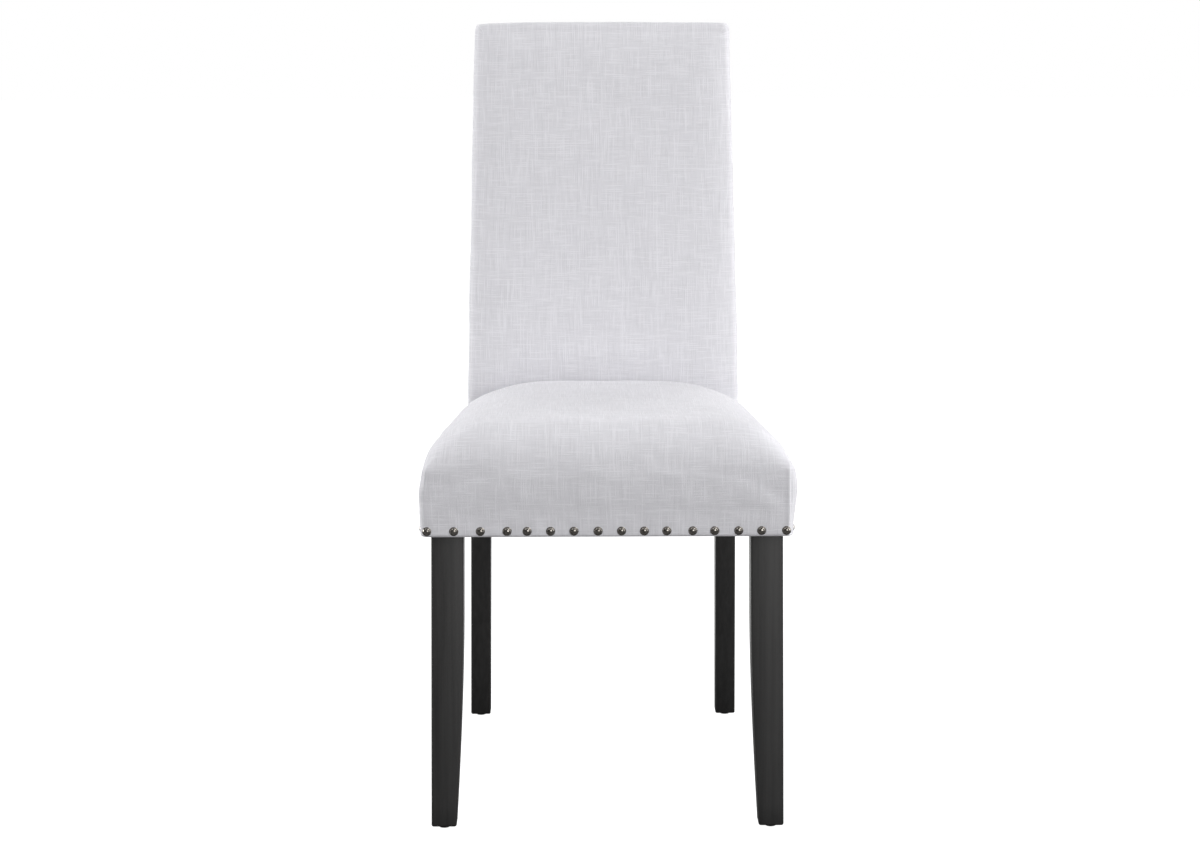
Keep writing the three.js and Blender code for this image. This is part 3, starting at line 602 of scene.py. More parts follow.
@dataclass(frozen=True)
class DustCloth:
    """Thin black non-woven cloth under the seat."""

    dark: Colour = (0.006, 0.006, 0.006)
    light: Colour = (0.020, 0.020, 0.021)
    spots: float = 520.0

    def make(self) -> Material:
        """Build the material.

        Returns:
            The dust cover's material.
        """
        nodes = Nodes("dust_cloth")
        fibre = nodes.noise(1.0, 5.0, 0.7, nodes.places((900, 350, 900)))
        cell = nodes.add("ShaderNodeTexVoronoi", {"Vector": nodes.places(), "Scale": self.spots},
                         feature="DISTANCE_TO_EDGE")
        height = nodes.blend((fibre, 0.6), (nodes.spread(cell.outputs["Distance"], 0.02, 0.2), 0.4))
        nodes.set(Base_Color=nodes.tint(fibre, self.dark, self.light), Roughness=0.92,
                  Sheen_Weight=0.1, Normal=nodes.bump(height, 0.00025, 0.7))
        return nodes.material


@dataclass(frozen=True)
class StudioFloor:
    """Smooth near-white studio floor that throws only a little light back up."""

    shade: Colour = (0.30, 0.30, 0.30)
    pale: Colour = (0.32, 0.32, 0.32)
    glow: float = 0.975
    bounce: float = 0.18
    mirrored: float = 0.04
    mirrored_behind: float = 0.85
    behind: Pair = (0.45, 0.9)

    def make(self) -> Material:
        """Build the material.

        Returns:
            The floor's material.
        """
        nodes = Nodes("studio_floor")
        cloud = nodes.noise(3.0, 2.0)
        nodes.set(Base_Color=nodes.tint(cloud, self.shade, self.pale), Roughness=0.9, Specular_IOR_Level=0.1,
                  Emission_Color=(1, 1, 1, 1), Emission_Strength=self.glow)
        grey = (self.bounce, self.bounce, self.bounce, 1)
        bounce = nodes.add("ShaderNodeBsdfDiffuse", {"Color": grey})
        path, depth = nodes.add("ShaderNodeLightPath"), nodes.split(nodes.places())[1]
        shine = nodes.spread(depth, *self.behind, self.mirrored, self.mirrored_behind)
        mirrored = nodes.sum("MULTIPLY", path.outputs["Is Glossy Ray"], shine)
        seen = nodes.sum("MAXIMUM", path.outputs["Is Camera Ray"], mirrored)
        mix = nodes.add("ShaderNodeMixShader", {"Fac": seen})
        nodes.link(bounce.outputs["BSDF"], mix.inputs[1])
        nodes.link(nodes.shader.outputs["BSDF"], mix.inputs[2])
        nodes.link(mix.outputs["Shader"], nodes.output.inputs["Surface"])
        return nodes.material


@dataclass(frozen=True)
class Finishes:
    """Every material of the chair, made once."""

    linen: Material
    black_wood: Material
    bare_wood: Material
    plywood: Material
    nickel: Material
    steel: Material
    glide: Material
    dust: Material
    floor: Material

    @classmethod
    def make(cls) -> "Finishes":
        """Build all the materials.

        Returns:
            The set of finishes.
        """
        return cls(
            linen=LinenCloth().make(),
            black_wood=BlackWood().make(),
            bare_wood=BareWood().make(),
            plywood=BareWood("plywood", (0.44, 0.29, 0.13), (0.66, 0.47, 0.26), (40, 6, 60), 0.003).make(),
            nickel=CloudyFinish("black_nickel", (0.135, 0.125, 0.112), (0.270, 0.252, 0.230), (0.10, 0.18),
                                (420.0, 4.0), 0.00002, 0.4, (2600.0, 2.0), (0.35, 0.65)).make(),
            steel=CloudyFinish("zinc_steel", (0.375, 0.3825, 0.390), (0.50, 0.51, 0.52), (0.28, 0.46),
                               (350.0, 4.0), 0.00004).make(),
            glide=CloudyFinish("glide_plastic", (0.010, 0.010, 0.010), (0.022, 0.022, 0.022), (0.42, 0.58),
                               (1400.0, 3.0), 0.00005, 0.6, metal=0.0).make(),
            dust=DustCloth().make(),
            floor=StudioFloor().make(),
        )


# Modelling by hand


def choose(piece: Piece) -> None:
    """Make a piece the only selected one, and the active one."""
    bpy.ops.object.select_all(action="DESELECT")
    piece.select_set(True)
    bpy.context.view_layer.objects.active = piece


def edit(piece: Piece, *steps: Callable[[], object]) -> None:
    """Take steps on a piece in edit mode, each on its whole mesh.

    Args:
        piece: the piece.
        steps: operators, with their settings.
    """
    choose(piece)
    bpy.ops.object.mode_set(mode="EDIT")
    for step in steps:
        bpy.ops.mesh.select_all(action="SELECT")
        step()
    bpy.ops.object.mode_set(mode="OBJECT")


def apply_modifier(piece: Piece, modifier: bpy.types.Modifier) -> None:
    """Apply one of a piece's modifiers."""
    choose(piece)
    bpy.ops.object.modifier_apply(modifier=modifier.name)


@dataclass
class Workshop:
    """Edit-mode steps on one new piece at a time."""

    name: str

    def __post_init__(self) -> None:
        """Deselect everything, so that a step touches the new piece alone."""
        bpy.ops.object.select_all(action="DESELECT")

    @property
    def piece(self) -> Piece:
        """The piece being made."""
        return bpy.context.object

    def start(self) -> None:
        """Name the primitive just added and open it in edit mode, all selected."""
        self.piece.name = self.name
        bpy.ops.object.mode_set(mode="EDIT")
        bpy.ops.mesh.select_all(action="SELECT")

    def pick(self, choose_place: Callable[[Vector], bool]) -> None:
        """Select the vertices whose places are chosen.

        Args:
            choose_place: tells for a place whether its vertex is selected.
        """
        bpy.ops.mesh.select_mode(type="VERT")
        made = bmesh.from_edit_mesh(self.piece.data)
        for vert in made.verts:
            vert.select = choose_place(vert.co)
        made.select_flush(True)
        made.select_flush(False)
        bmesh.update_edit_mesh(self.piece.data)

    def scale(self, amounts: Sequence[float], centre: Sequence[float]) -> None:
        """Scale what is selected about a centre."""
        bpy.ops.transform.resize(value=tuple(amounts), center_override=tuple(centre))

    def close(self) -> Piece:
        """Make normals point outwards, leave edit mode and apply the piece's place.

        Returns:
            The finished piece, still selected and active.
        """
        bpy.ops.mesh.select_all(action="SELECT")
        bpy.ops.mesh.remove_doubles(threshold=0.000001)
        bpy.ops.mesh.normals_make_consistent(inside=False)
        bpy.ops.object.mode_set(mode="OBJECT")
        bpy.ops.object.transform_apply(location=True, rotation=True, scale=True)
        return self.piece

    def bevel(self, width: float, segments: int = 3, angle: float = 35.0) -> None:
        """Round the piece's edges that are sharper than an angle, and apply it."""
        modifier = self.piece.modifiers.new("edges", "BEVEL")
        modifier.width = width
        modifier.segments = segments
        modifier.limit_method = "ANGLE"
        modifier.angle_limit = math.radians(angle)
        modifier.use_clamp_overlap = True
        bpy.ops.object.modifier_apply(modifier=modifier.name)

    def smooth(self, angle: float = 40.0) -> None:
        """Shade the piece smoothly, but for edges sharper than an angle."""
        bpy.ops.object.shade_smooth_by_angle(angle=math.radians(angle))


@dataclass(frozen=True)
class Section:
    """A level rectangle of a swept piece."""

    z: float
    x_low: float
    x_high: float
    y_low: float
    y_high: float

    @property
    def centre(self) -> Vector:
        """The rectangle's middle."""
        return Vector(((self.x_low + self.x_high) / 2, (self.y_low + self.y_high) / 2, self.z))

    @property
    def size(self) -> Pair:
        """The rectangle's width and depth."""
        return self.x_high - self.x_low, self.y_high - self.y_low


def sweep(name: str, sections: Sequence[Section], edge: float) -> Piece:
    """Extrude a plane up through level rectangles and round its edges.

    Args:
        name: the piece's name.
        sections: the rectangles, from the lowest up.
        edge: the radius of its rounded edges.

    Returns:
        The swept piece.
    """
    shop = Workshop(name)
    last = sections[0]
    bpy.ops.mesh.primitive_plane_add(size=1, location=last.centre)
    shop.start()
    shop.scale((*last.size, 1), last.centre)
    for section in sections[1:]:
        step = tuple(section.centre - last.centre)
        bpy.ops.mesh.extrude_region_move(TRANSFORM_OT_translate={"value": step})
        grow = [new / old for new, old in zip(section.size, last.size)]
        shop.scale((*grow, 1), section.centre)
        last = section
    piece = shop.close()
    shop.bevel(edge)
    shop.smooth()
    return piece


def cut_flat(piece: Piece, place: Sequence[float], way: Sequence[float]) -> None:
    """Cut a piece flat and drop what lies beyond the cut.

    Args:
        piece: the piece.
        place: a place on the cut.
        way: the direction that leads out of the piece, square to the cut.
    """
    edit(piece, partial(bpy.ops.mesh.remove_doubles, threshold=0.000002),
         partial(bpy.ops.mesh.bisect, plane_co=tuple(place), plane_no=tuple(way), use_fill=True,
                 clear_outer=True))


def turn_profile(name: str, profile: Sequence[Pair], sides: int) -> Piece:
    """Raise a circle through the radii and heights of a turned piece, closed at both ends.

    Args:
        name: the piece's name.
        profile: radius and height of each ring, from the lowest up.
        sides: how many sides the rings have.

    Returns:
        The turned piece, standing on the origin along Z.
    """
    shop = Workshop(name)
    radius, height = profile[0]
    bpy.ops.mesh.primitive_circle_add(vertices=sides, radius=radius, fill_type="TRIFAN",
                                      location=(0, 0, height))
    shop.start()
    last_radius, last_height = radius, height
    for radius, height in profile[1:]:
        bpy.ops.mesh.extrude_region_move(TRANSFORM_OT_translate={"value": (0, 0, height - last_height)})
        shop.scale((radius / last_radius, radius / last_radius, 1), (0, 0, height))
        last_radius, last_height = radius, height
    piece = shop.close()
    shop.smooth(50)
    return piece


def copy_moved(model: Piece, name: str, move: Matrix) -> Piece:
    """Copy a piece with its own mesh, and move that mesh.

    Args:
        model: the piece that is copied.
        name: the copy's name.
        move: where the copy goes.

    Returns:
        The copy, with its place in its mesh.
    """
    copy = model.copy()
    copy.data = model.data.copy()
    copy.name = name
    bpy.context.collection.objects.link(copy)
    copy.data.transform(move)
    copy.data.update()
    return copy


def place_copy(model: Piece, name: str, start: Vector, axis: Vector) -> Piece:
    """Copy a turned piece, standing at a place along an axis.

    Args:
        model: the piece that is copied.
        name: the copy's name.
        start: where its origin goes.
        axis: where its Z axis points.

    Returns:
        The copy, with its place in its mesh.
    """
    turn = axis.normalized().to_track_quat("Z", "Y").to_matrix().to_4x4()
    return copy_moved(model, name, Matrix.Translation(start) @ turn)


def dress(piece: Piece, material: Material, stands_for: Sequence[str] = ()) -> Piece:
    """Give a piece its material, hide the CAD nodes that it stands for, and let it ride.

    Args:
        piece: the piece.
        material: its material.
        stands_for: the CAD nodes that it replaces.

    Returns:
        The same piece.
    """
    piece.data.materials.clear()
    piece.data.materials.append(material)
    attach(piece, "root")
    if stands_for:
        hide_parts(*stands_for)
    return piece


# Cloth lattices


def grid_faces(flat: Array) -> tuple[list[list[int]], list[Array]]:
    """The faces between a grid's points.

    Args:
        flat: the grid on the flat cloth.

    Returns:
        The numbers of each face's points, and where the faces' corners lie on the flat cloth.
    """
    rows, columns = flat.shape[:2]
    cells = [((r, c), (r, c + 1), (r + 1, c + 1), (r + 1, c))
             for r in range(rows - 1) for c in range(columns - 1)]
    faces = [[r * columns + c for r, c in cell] for cell in cells]
    return faces, [flat[spot] for cell in cells for spot in cell]


def cloth_mesh(name: str, places: Array, faces: Sequence[Sequence[int]], spots: Sequence[Array]) -> Piece:
    """Make a piece of cloth with its flat pattern as the UV map.

    Args:
        name: the piece's name.
        places: its points.
        faces: the numbers of each face's points.
        spots: where each face's corners lie on the flat cloth, in metres.

    Returns:
        The new object.
    """
    mesh = bpy.data.meshes.new(name)
    mesh.from_pydata([tuple(place) for place in places], [], faces)
    layer = mesh.uv_layers.new(name="cloth")
    layer.data.foreach_set("uv", np.array(spots, dtype=np.float32).ravel())
    mesh.validate()
    mesh.update()
    piece = bpy.data.objects.new(name, mesh)
    bpy.context.collection.objects.link(piece)
    return piece


def panel_grid(name: str, places: Array, flat: Array) -> Piece:
    """A sheet of cloth through a grid of places.

    Args:
        name: the piece's name.
        places: the grid of places.
        flat: the same grid on the flat cloth.

    Returns:
        The sheet's object.
    """
    return cloth_mesh(name, places.reshape(-1, 3), *grid_faces(flat))


@dataclass
class Lattice:
    """A grid of cloth with walls that hang from three or four of its sides, in plain numbers.

    top holds the grid's places by row and column. walls holds rings of places that go on from the
    grid's outline, from its edge outwards. flat and wall_flat hold the same points on the flat cloth.
    """

    top: Array
    outline: list[tuple[int, int]]
    walls: Array
    closed: bool
    flat: Array
    wall_flat: Array

    def to_mesh(self, name: str) -> Piece:
        """Build the mesh with its flat pattern as the UV map.

        Args:
            name: the piece's name.

        Returns:
            The new object.
        """
        rows, columns = self.top.shape[:2]
        rings, around = self.walls.shape[:2]
        faces, spots = grid_faces(self.flat)
        ids = [[r * columns + c for r, c in self.outline]]
        ids += [[rows * columns + k * around + j for j in range(around)] for k in range(rings)]
        for k in range(rings):
            for j in range(around if self.closed else around - 1):
                after = (j + 1) % around
                faces.append([ids[k][j], ids[k + 1][j], ids[k + 1][after], ids[k][after]])
                spots += [self.wall_flat[k + down, j, end] for down, end in ((0, 0), (1, 0), (1, 1), (0, 1))]
        places = np.concatenate([self.top.reshape(-1, 3), self.walls.reshape(-1, 3)])
        return cloth_mesh(name, places, faces, spots)


@dataclass(frozen=True)
class Stretch:
    """Grid lines over a stretch: close together near its ends and even between them."""

    length: float
    start_steps: Steps
    end_steps: Steps
    pitch: float

    def lines(self) -> Array:
        """Places of the lines along the stretch, from 0 to its length."""
        low, high = self.start_steps[-1], self.length - self.end_steps[-1]
        count = max(1, round((high - low) / self.pitch))
        middle = np.linspace(low, high, count + 1)[1:-1]
        ends = [self.length - step for step in reversed(self.end_steps)]
        return np.array([*self.start_steps, *middle, *ends])

    def both_ways(self) -> Array:
        """Places over twice the stretch, from its middle, with the lines measured in from both ends."""
        from_middle = self.length - self.lines()
        return np.concatenate([-from_middle, from_middle[-2::-1]])


def arc_lengths(points: Array, axis: int) -> Array:
    """Length along a grid of points from its first line, following one of its axes.

    Args:
        points: the grid, with a place in its last axis.
        axis: the axis that is followed.

    Returns:
        The length at each point.
    """
    steps = np.linalg.norm(np.diff(points, axis=axis), axis=-1)
    start = np.zeros_like(np.take(steps, [0], axis=axis))
    return np.concatenate([start, np.cumsum(steps, axis=axis)], axis=axis)


def lay_flat(grid: Array) -> Array:
    """Lay a grid out flat, by its lengths across from its middle column and along from its first row."""
    across = arc_lengths(grid, 1)
    across = across - across[:, [grid.shape[1] // 2]]
    return np.stack([across, arc_lengths(grid, 0)], axis=-1)


def round_corner(a: Array, b: Array, radius: float) -> tuple[Array, Array]:
    """Move points near a square corner so that the corner is round.

    Args:
        a: distance to one of the corner's sides.
        b: distance to its other side.
        radius: the corner's radius.

    Returns:
        The new distances to both sides.
    """
    p, q = share_of((radius - a) / radius), share_of((radius - b) / radius)
    near = (a < radius) & (b < radius)
    round_a = radius * (1 - p * np.sqrt(1 - q * q / 2))
    round_b = radius * (1 - q * np.sqrt(1 - p * p / 2))
    return np.where(near, round_a, a), np.where(near, round_b, b)


def undulation(x: Array, y: Array, z: Array, wave: float, seed: int) -> Array:
    """Soft, uneven hollows and swells, the same on each run.

    Args:
        x: places across.
        y: places in depth.
        z: places in height.
        wave: the usual length of a swell.
        seed: chooses one pattern.

    Returns:
        Values between about -1 and 1.
    """
    dice = np.random.default_rng(seed)
    total = np.zeros(np.broadcast(x, y, z).shape)
    waves = 9
    for _ in range(waves):
        way = dice.normal(size=3)
        way /= np.linalg.norm(way)
        turn = 2 * math.pi / (wave * dice.uniform(0.7, 1.6))
        total = total + np.sin(turn * (way[0] * x + way[1] * y + way[2] * z) + dice.uniform(0, 2 * math.pi))
    return total / math.sqrt(waves)


def vertex_values(mesh: bpy.types.Mesh, kind: str) -> Array:
    """The places of a mesh's points, or the normals there.

    Args:
        mesh: the mesh.
        kind: "co" for places or "normal" for normals.

    Returns:
        A row for each point.
    """
    flat = np.empty(len(mesh.vertices) * 3)
    mesh.vertices.foreach_get(kind, flat)
    return flat.reshape(-1, 3)


@dataclass
class ClothWork:
    """Steps that turn a lattice into finished padded cloth, with the cloth simulation's settings."""

    piece: Piece
    pressure: float = 4.0
    cap: float = 0.0006
    quality: int = 6
    mass: float = 0.25
    stiffness: float = 25.0
    bending: float = 1.5
    frames: int = 20

    def move(self, places: Array) -> None:
        """Put the piece's points at new places."""
        self.piece.data.vertices.foreach_set("co", np.ascontiguousarray(places).ravel())
        self.piece.data.update()

    def tidy(self) -> None:
        """Delete loose points and merge doubles."""
        edit(self.piece, partial(bpy.ops.mesh.delete_loose, use_verts=True, use_edges=True, use_faces=False),
             partial(bpy.ops.mesh.remove_doubles, threshold=0.00002))

    def inflate(self, held: Callable[[Array], Array]) -> None:
        """Blow the cloth up a little with Blender's cloth simulation, and apply it.

        Args:
            held: tells for the points how firmly each is pinned, from 0 to 1.
        """
        scene = bpy.context.scene
        start = vertex_values(self.piece.data, "co")
        group = self.piece.vertex_groups.new(name="held")
        for index, weight in enumerate(held(start)):
            group.add([index], float(weight), "REPLACE")
        cloth = self.piece.modifiers.new("cloth", "CLOTH")
        cloth.settings.quality = self.quality
        cloth.settings.mass = self.mass
        cloth.settings.tension_stiffness = self.stiffness
        cloth.settings.compression_stiffness = self.stiffness
        cloth.settings.bending_stiffness = self.bending
        cloth.settings.vertex_group_mass = "held"
        cloth.settings.use_pressure = True
        cloth.settings.uniform_pressure_force = self.pressure
        cloth.settings.effector_weights.gravity = 0
        cloth.point_cache.frame_start = 1
        cloth.point_cache.frame_end = self.frames
        for number in range(1, self.frames + 1):
            scene.frame_set(number)
        blown = self.piece.evaluated_get(bpy.context.evaluated_depsgraph_get()).data
        moved = vertex_values(blown, "co") - start
        self.piece.modifiers.remove(cloth)
        self.piece.vertex_groups.remove(group)
        scene.frame_set(1)
        reach = np.linalg.norm(moved, axis=1, keepdims=True)
        limit = self.cap * np.tanh(reach / self.cap) / np.maximum(reach, 1e-9)
        self.move(start + moved * limit)
        log.info("%s: simulated, moved up to %.1f mm before its cap", self.piece.name, 1000 * reach.max())

    def refine(self) -> None:
        """Subdivide the cloth once, smoothly."""
        finer = self.piece.modifiers.new("finer", "SUBSURF")
        finer.levels = finer.render_levels = 1
        finer.boundary_smooth = "PRESERVE_CORNERS"
        apply_modifier(self.piece, finer)

    def thicken(self, thickness: float) -> None:
        """Give the cloth its thickness, inwards."""
        wall = self.piece.modifiers.new("wall", "SOLIDIFY")
        wall.thickness = thickness
        wall.offset = -1
        wall.use_even_offset = False
        apply_modifier(self.piece, wall)
        bpy.ops.object.shade_smooth_by_angle(angle=math.radians(60))

    def pad(self, held: Callable[[Array], Array],
            detail: Callable[[Array, Array], Array], thickness: float) -> None:
        """Take all the steps that make a cushion's cloth.

        Args:
            held: tells for the points how firmly each is pinned, from 0 to 1.
            detail: works the small forms into the fine mesh, from its points and normals.
            thickness: the cloth's thickness.
        """
        self.tidy()
        self.inflate(held)
        self.refine()
        data = self.piece.data
        self.move(detail(vertex_values(data, "co"), vertex_values(data, "normal")))
        self.thicken(thickness)


def flat_walls(grid_flat: Array, outline: list[tuple[int, int]], rings: Array,
               ways: Sequence[Pair], starts: Sequence[float | None]) -> Array:
    """Where the walls' points lie on the flat cloth, segment by segment.

    Args:
        grid_flat: the grid's points on the flat cloth.
        outline: the grid's points that the walls hang from.
        rings: the walls' places, the first ring being the outline's own.
        ways: for each segment, the direction on the flat cloth that leads away from the grid.
        starts: for each segment, where its outward measure starts, or None to go on from the grid.

    Returns:
        For each ring and segment, the flat places of the segment's two ends.
    """
    away = arc_lengths(rings, 0)
    around = rings.shape[1]
    made = np.zeros((rings.shape[0], around, 2, 2))
    for j, (way, start) in enumerate(zip(ways, starts)):
        for end in (0, 1):
            at = (j + end) % around
            base = np.array(grid_flat[outline[at]], dtype=float)
            if start is not None:
                axis = 0 if way[0] else 1
                base[axis] = start * way[axis]
            made[:, j, end] = base + np.outer(away[:, at], way)
    return made


@dataclass
class Part:
    """A part of the chair, with the lines and finishes that its parts share."""

    lines: ChairLines
    finishes: Finishes


@dataclass
class SeatCushion(Part):
    """The crowned seat with its cloth pulled down over the rails and nailed along its lower edge."""

    nails: list[Vector]
    front_corner: float = 0.009
    rear_corner: float = 0.004
    hem_round: float = 0.003
    pitch: float = 0.0065
    edge_steps: Steps = (0.0, 0.0002, 0.0007, 0.0018, 0.0036, 0.0052, 0.0060, 0.0068, 0.0090, 0.012,
                         0.0165, 0.022, 0.0285, 0.0355, 0.042)
    rear_steps: Steps = (0.0, 0.0008, 0.002, 0.004, 0.007, 0.011, 0.016, 0.022)
    wall_levels: Steps = (0.4458, 0.4423, 0.4375, 0.431, 0.424, 0.417, 0.410, 0.403, 0.396, 0.390, 0.385,
                          0.381, 0.377, 0.3745)
    under_steps: Steps = (0.007, 0.0125, 0.020)
    flat_side: float = 0.27
    swell_out: float = 0.0025
    swell_ahead: float = 0.3
    swell_level: float = 0.427
    swell_above: float = 0.040
    swell_below: float = 0.056
    held_top: float = 0.420
    held_fade: float = 0.036
    held_rear: float = 0.425
    broad_swell: float = 0.0005
    fine_swell: float = 0.00016
    nail_level: float = 0.377
    nail_band: float = 0.0005
    dimple_radius: float = 0.0085
    dimple_depth: float = 0.0010
    pleat_top: float = 0.476
    pleat_offset: float = 0.0060
    pleat_slope: float = 0.9
    pleat_lip: float = 0.0006
    pleat_bend: float = 0.0006
    pleat_depth: float = 0.0055
    gather_out: float = 0.0030
    gather_level: float = 0.430
    gather_reach: float = 0.044
    left_in: float = 0.0026
    left_level: float = 0.450
    left_reach: float = 0.032

    def half(self, y: Array) -> Array:
        """Half width over the cloth at a depth."""
        return self.lines.flank(y) + self.lines.bow(y)

    def grid(self) -> Array:
        """Lay out the grid over the seat's top.

        Returns:
            The places of its points.
        """
        lines = self.lines
        front_half = lines.seat_front_width / 2
        inner = self.edge_steps[-1]
        across = Stretch(front_half, self.edge_steps, (0.0,), self.pitch).both_ways()
        depth = lines.seat_rear
        rows = Stretch(depth, self.edge_steps, self.rear_steps, self.pitch).lines()
        x0, y0 = np.meshgrid(across, rows)
        half = self.half(y0)
        in_edge = front_half - np.abs(x0)
        middle = in_edge >= inner
        a = np.where(middle, half - np.abs(x0) * (half - inner) / (front_half - inner), in_edge)
        b, c = y0, depth - y0
        a_front, b_front = round_corner(a, b, self.front_corner)
        a_rear, c_rear = round_corner(a, c, self.rear_corner)
        near_front = y0 < depth / 2
        x = np.sign(x0) * (half - np.where(near_front, a_front, a_rear))
        y = np.where(near_front, b_front, depth - c_rear)
        side = lines.side_round_front + (lines.side_round_rear - lines.side_round_front) * share_of(
            y / lines.seat_depth)
        full = fullness(a, side) * fullness(b, lines.front_round) * fullness(c, lines.rear_round)
        z = lines.seat_shoulder + (lines.seat_crown - lines.seat_shoulder) * full
        return np.stack([x, y, z], axis=-1)

    def bulge(self, z: Array | float) -> Array:
        """How far the cloth swells out at a height, over the wall and the lowest part of the crown."""
        off = np.asarray(z) - self.swell_level
        return self.swell_out * hump(off, np.where(off > 0, self.swell_above, self.swell_below))

    def swell(self, top: Array) -> Array:
        """Let the lowest part of the crown swell out as the walls do.

        Args:
            top: the grid's places.

        Returns:
            The swollen grid.
        """
        x, y, z = np.moveaxis(top, -1, 0)
        out = self.bulge(z)
        ahead = self.swell_ahead * out * (1 - y / self.lines.seat_depth)
        return np.stack([x * (1 + out / self.half(y)), y - ahead, z], axis=-1)

    def ring(self, outline: Array, z: float, inset: float) -> Array:
        """One ring of the wall, from the grid's outline.

        Args:
            outline: the outline of the seat's top.
            z: the ring's height.
            inset: how far it is drawn in.

        Returns:
            The ring's places.
        """
        lines = self.lines
        depth = lines.seat_rear
        drop = share_of((lines.seat_shoulder - z) / (lines.seat_shoulder - lines.shelf))
        rear = depth + (float(lines.seat_plane(min(z, lines.shelf))) - depth) * drop
        low, high = inset - self.swell_ahead * self.bulge(z), rear - inset
        y = low + outline[:, 1] / depth * (high - low)
        share = outline[:, 0] / self.half(outline[:, 1])
        x = share * (self.half(y) - inset + self.bulge(z))
        return np.stack([x, y, np.full_like(x, z)], axis=-1)

    def lattice(self) -> Lattice:
        """Join the top's grid and its walls in one lattice.

        Returns:
            The cushion's lattice, in the frame.
        """
        lines = self.lines
        top = self.grid()
        rows, columns = top.shape[:2]
        outline = ([(0, c) for c in range(columns - 1)] + [(r, columns - 1) for r in range(rows - 1)]
                   + [(rows - 1, c) for c in range(columns - 1, 0, -1)]
                   + [(r, 0) for r in range(rows - 1, 0, -1)])
        edge = top[tuple(zip(*outline))]
        levels = [(z, 0.0) for z in self.wall_levels]
        bottom = lines.seat_edge
        for angle in (0, 30, 60, 90):
            turn = math.radians(angle)
            levels.append((bottom + self.hem_round * (1 - math.sin(turn)),
                           self.hem_round * (1 - math.cos(turn))))
        levels += [(bottom, inset) for inset in self.under_steps]
        rings = [self.ring(edge, z, inset) for z, inset in levels]
        top = self.swell(top)
        rings = np.array([top[tuple(zip(*outline))]] + rings)
        flat = lay_flat(top)
        ways = ([(0.0, -1.0)] * (columns - 1) + [(1.0, 0.0)] * (rows - 1) + [(0.0, 1.0)] * (columns - 1)
                + [(-1.0, 0.0)] * (rows - 1))
        starts = ([None] * (columns - 1) + [self.flat_side] * (rows - 1)) * 2
        wall_flat = flat_walls(flat, outline, rings, ways, starts)
        shift = np.array([0, lines.front_y, 0])
        return Lattice(top + shift, outline, rings[1:] + shift, True, flat, wall_flat)

    def held(self, places: Array) -> Array:
        """How firmly the cloth is held: nailed at its lower edge and pressed against the back."""
        low = smooth_step((self.held_top - places[:, 2]) / self.held_fade)
        rear = share_of((places[:, 1] - self.lines.front_y - self.held_rear) / 0.012)
        return np.maximum(low, rear)

    def pleat(self, x: Array, y: Array, z: Array, free: Array) -> tuple[Array, Array]:
        """The pleat beside the right front corner, which fades out up the front.

        Args:
            x: places across.
            y: depths from the seat's front.
            z: heights.
            free: how far each point is clear of the hem, from 0 to 1.

        Returns:
            How far the pleat's lip stands out, and how far back the cloth beyond it lies.
        """
        corner = self.lines.seat_front_width / 2 - x
        ahead = share_of((0.016 - y) / 0.012) * share_of((x - 0.1) / 0.05)
        strength = ahead * smooth_step((self.pleat_top - z) / 0.030) * free
        bend = self.pleat_bend * np.sin((z - 0.372) / 0.028)
        past = self.pleat_offset - corner - bend
        lip = bell(past + 0.0018, 0.0020) * share_of((0.004 - y) / 0.003)
        back = share_of(past / 0.0012) * 0.0010 + self.pleat_slope * np.maximum(past, 0.0)
        return strength * self.pleat_lip * lip, strength * np.minimum(back, self.pleat_depth)

    def detail(self, places: Array, normals: Array) -> Array:
        """Work the small forms into the fine mesh: swells, nail dimples, the pleat and the flanks' ends.

        Args:
            places: the cloth's points.
            normals: the cloth's normals.

        Returns:
            The new places.
        """
        lines = self.lines
        x, y, z = places.T
        y = y - lines.front_y
        wall = share_of((lines.seat_shoulder + 0.01 - z) / 0.02)
        free = share_of((z - lines.seat_edge - 0.0005) / 0.003)
        rise = self.broad_swell * undulation(x, y, z, 0.085, 4) * (1 - 0.5 * wall) * free
        rise += self.fine_swell * undulation(x, y, z, 0.024, 11) * free
        for nail in self.nails:
            gap = np.sqrt((x - nail.x) ** 2 + (y + lines.front_y - nail.y) ** 2 + (z - nail.z) ** 2)
            rise -= self.dimple_depth * bell(gap, self.dimple_radius) * free
        rise += self.nail_band * bell(z - self.nail_level, 0.011) * free
        lip, back = self.pleat(x, y, z, free)
        rise += lip
        flank = smooth_step((normals[:, 0] - 0.2) / 0.5) * smooth_step((0.075 - y) / 0.06)
        gather = hump(z - self.gather_level, self.gather_reach)
        rise += self.gather_out * gather * flank * smooth_step((x - 0.19) / 0.02)
        left = smooth_step((-normals[:, 0] - 0.15) / 0.4) * smooth_step((-x - 0.17) / 0.03)
        rise -= self.left_in * left * hump(z - self.left_level, self.left_reach)
        moved = places + normals * rise[:, None]
        moved[:, 1] += back
        return moved

    def build(self) -> Piece:
        """Make the cushion's cloth.

        Returns:
            The finished cushion.
        """
        piece = self.lattice().to_mesh("seat_cushion")
        ClothWork(piece).pad(self.held, self.detail, self.lines.cloth)
        dress(piece, self.finishes.linen, ("seat_cover", "seat_foam"))
        return piece


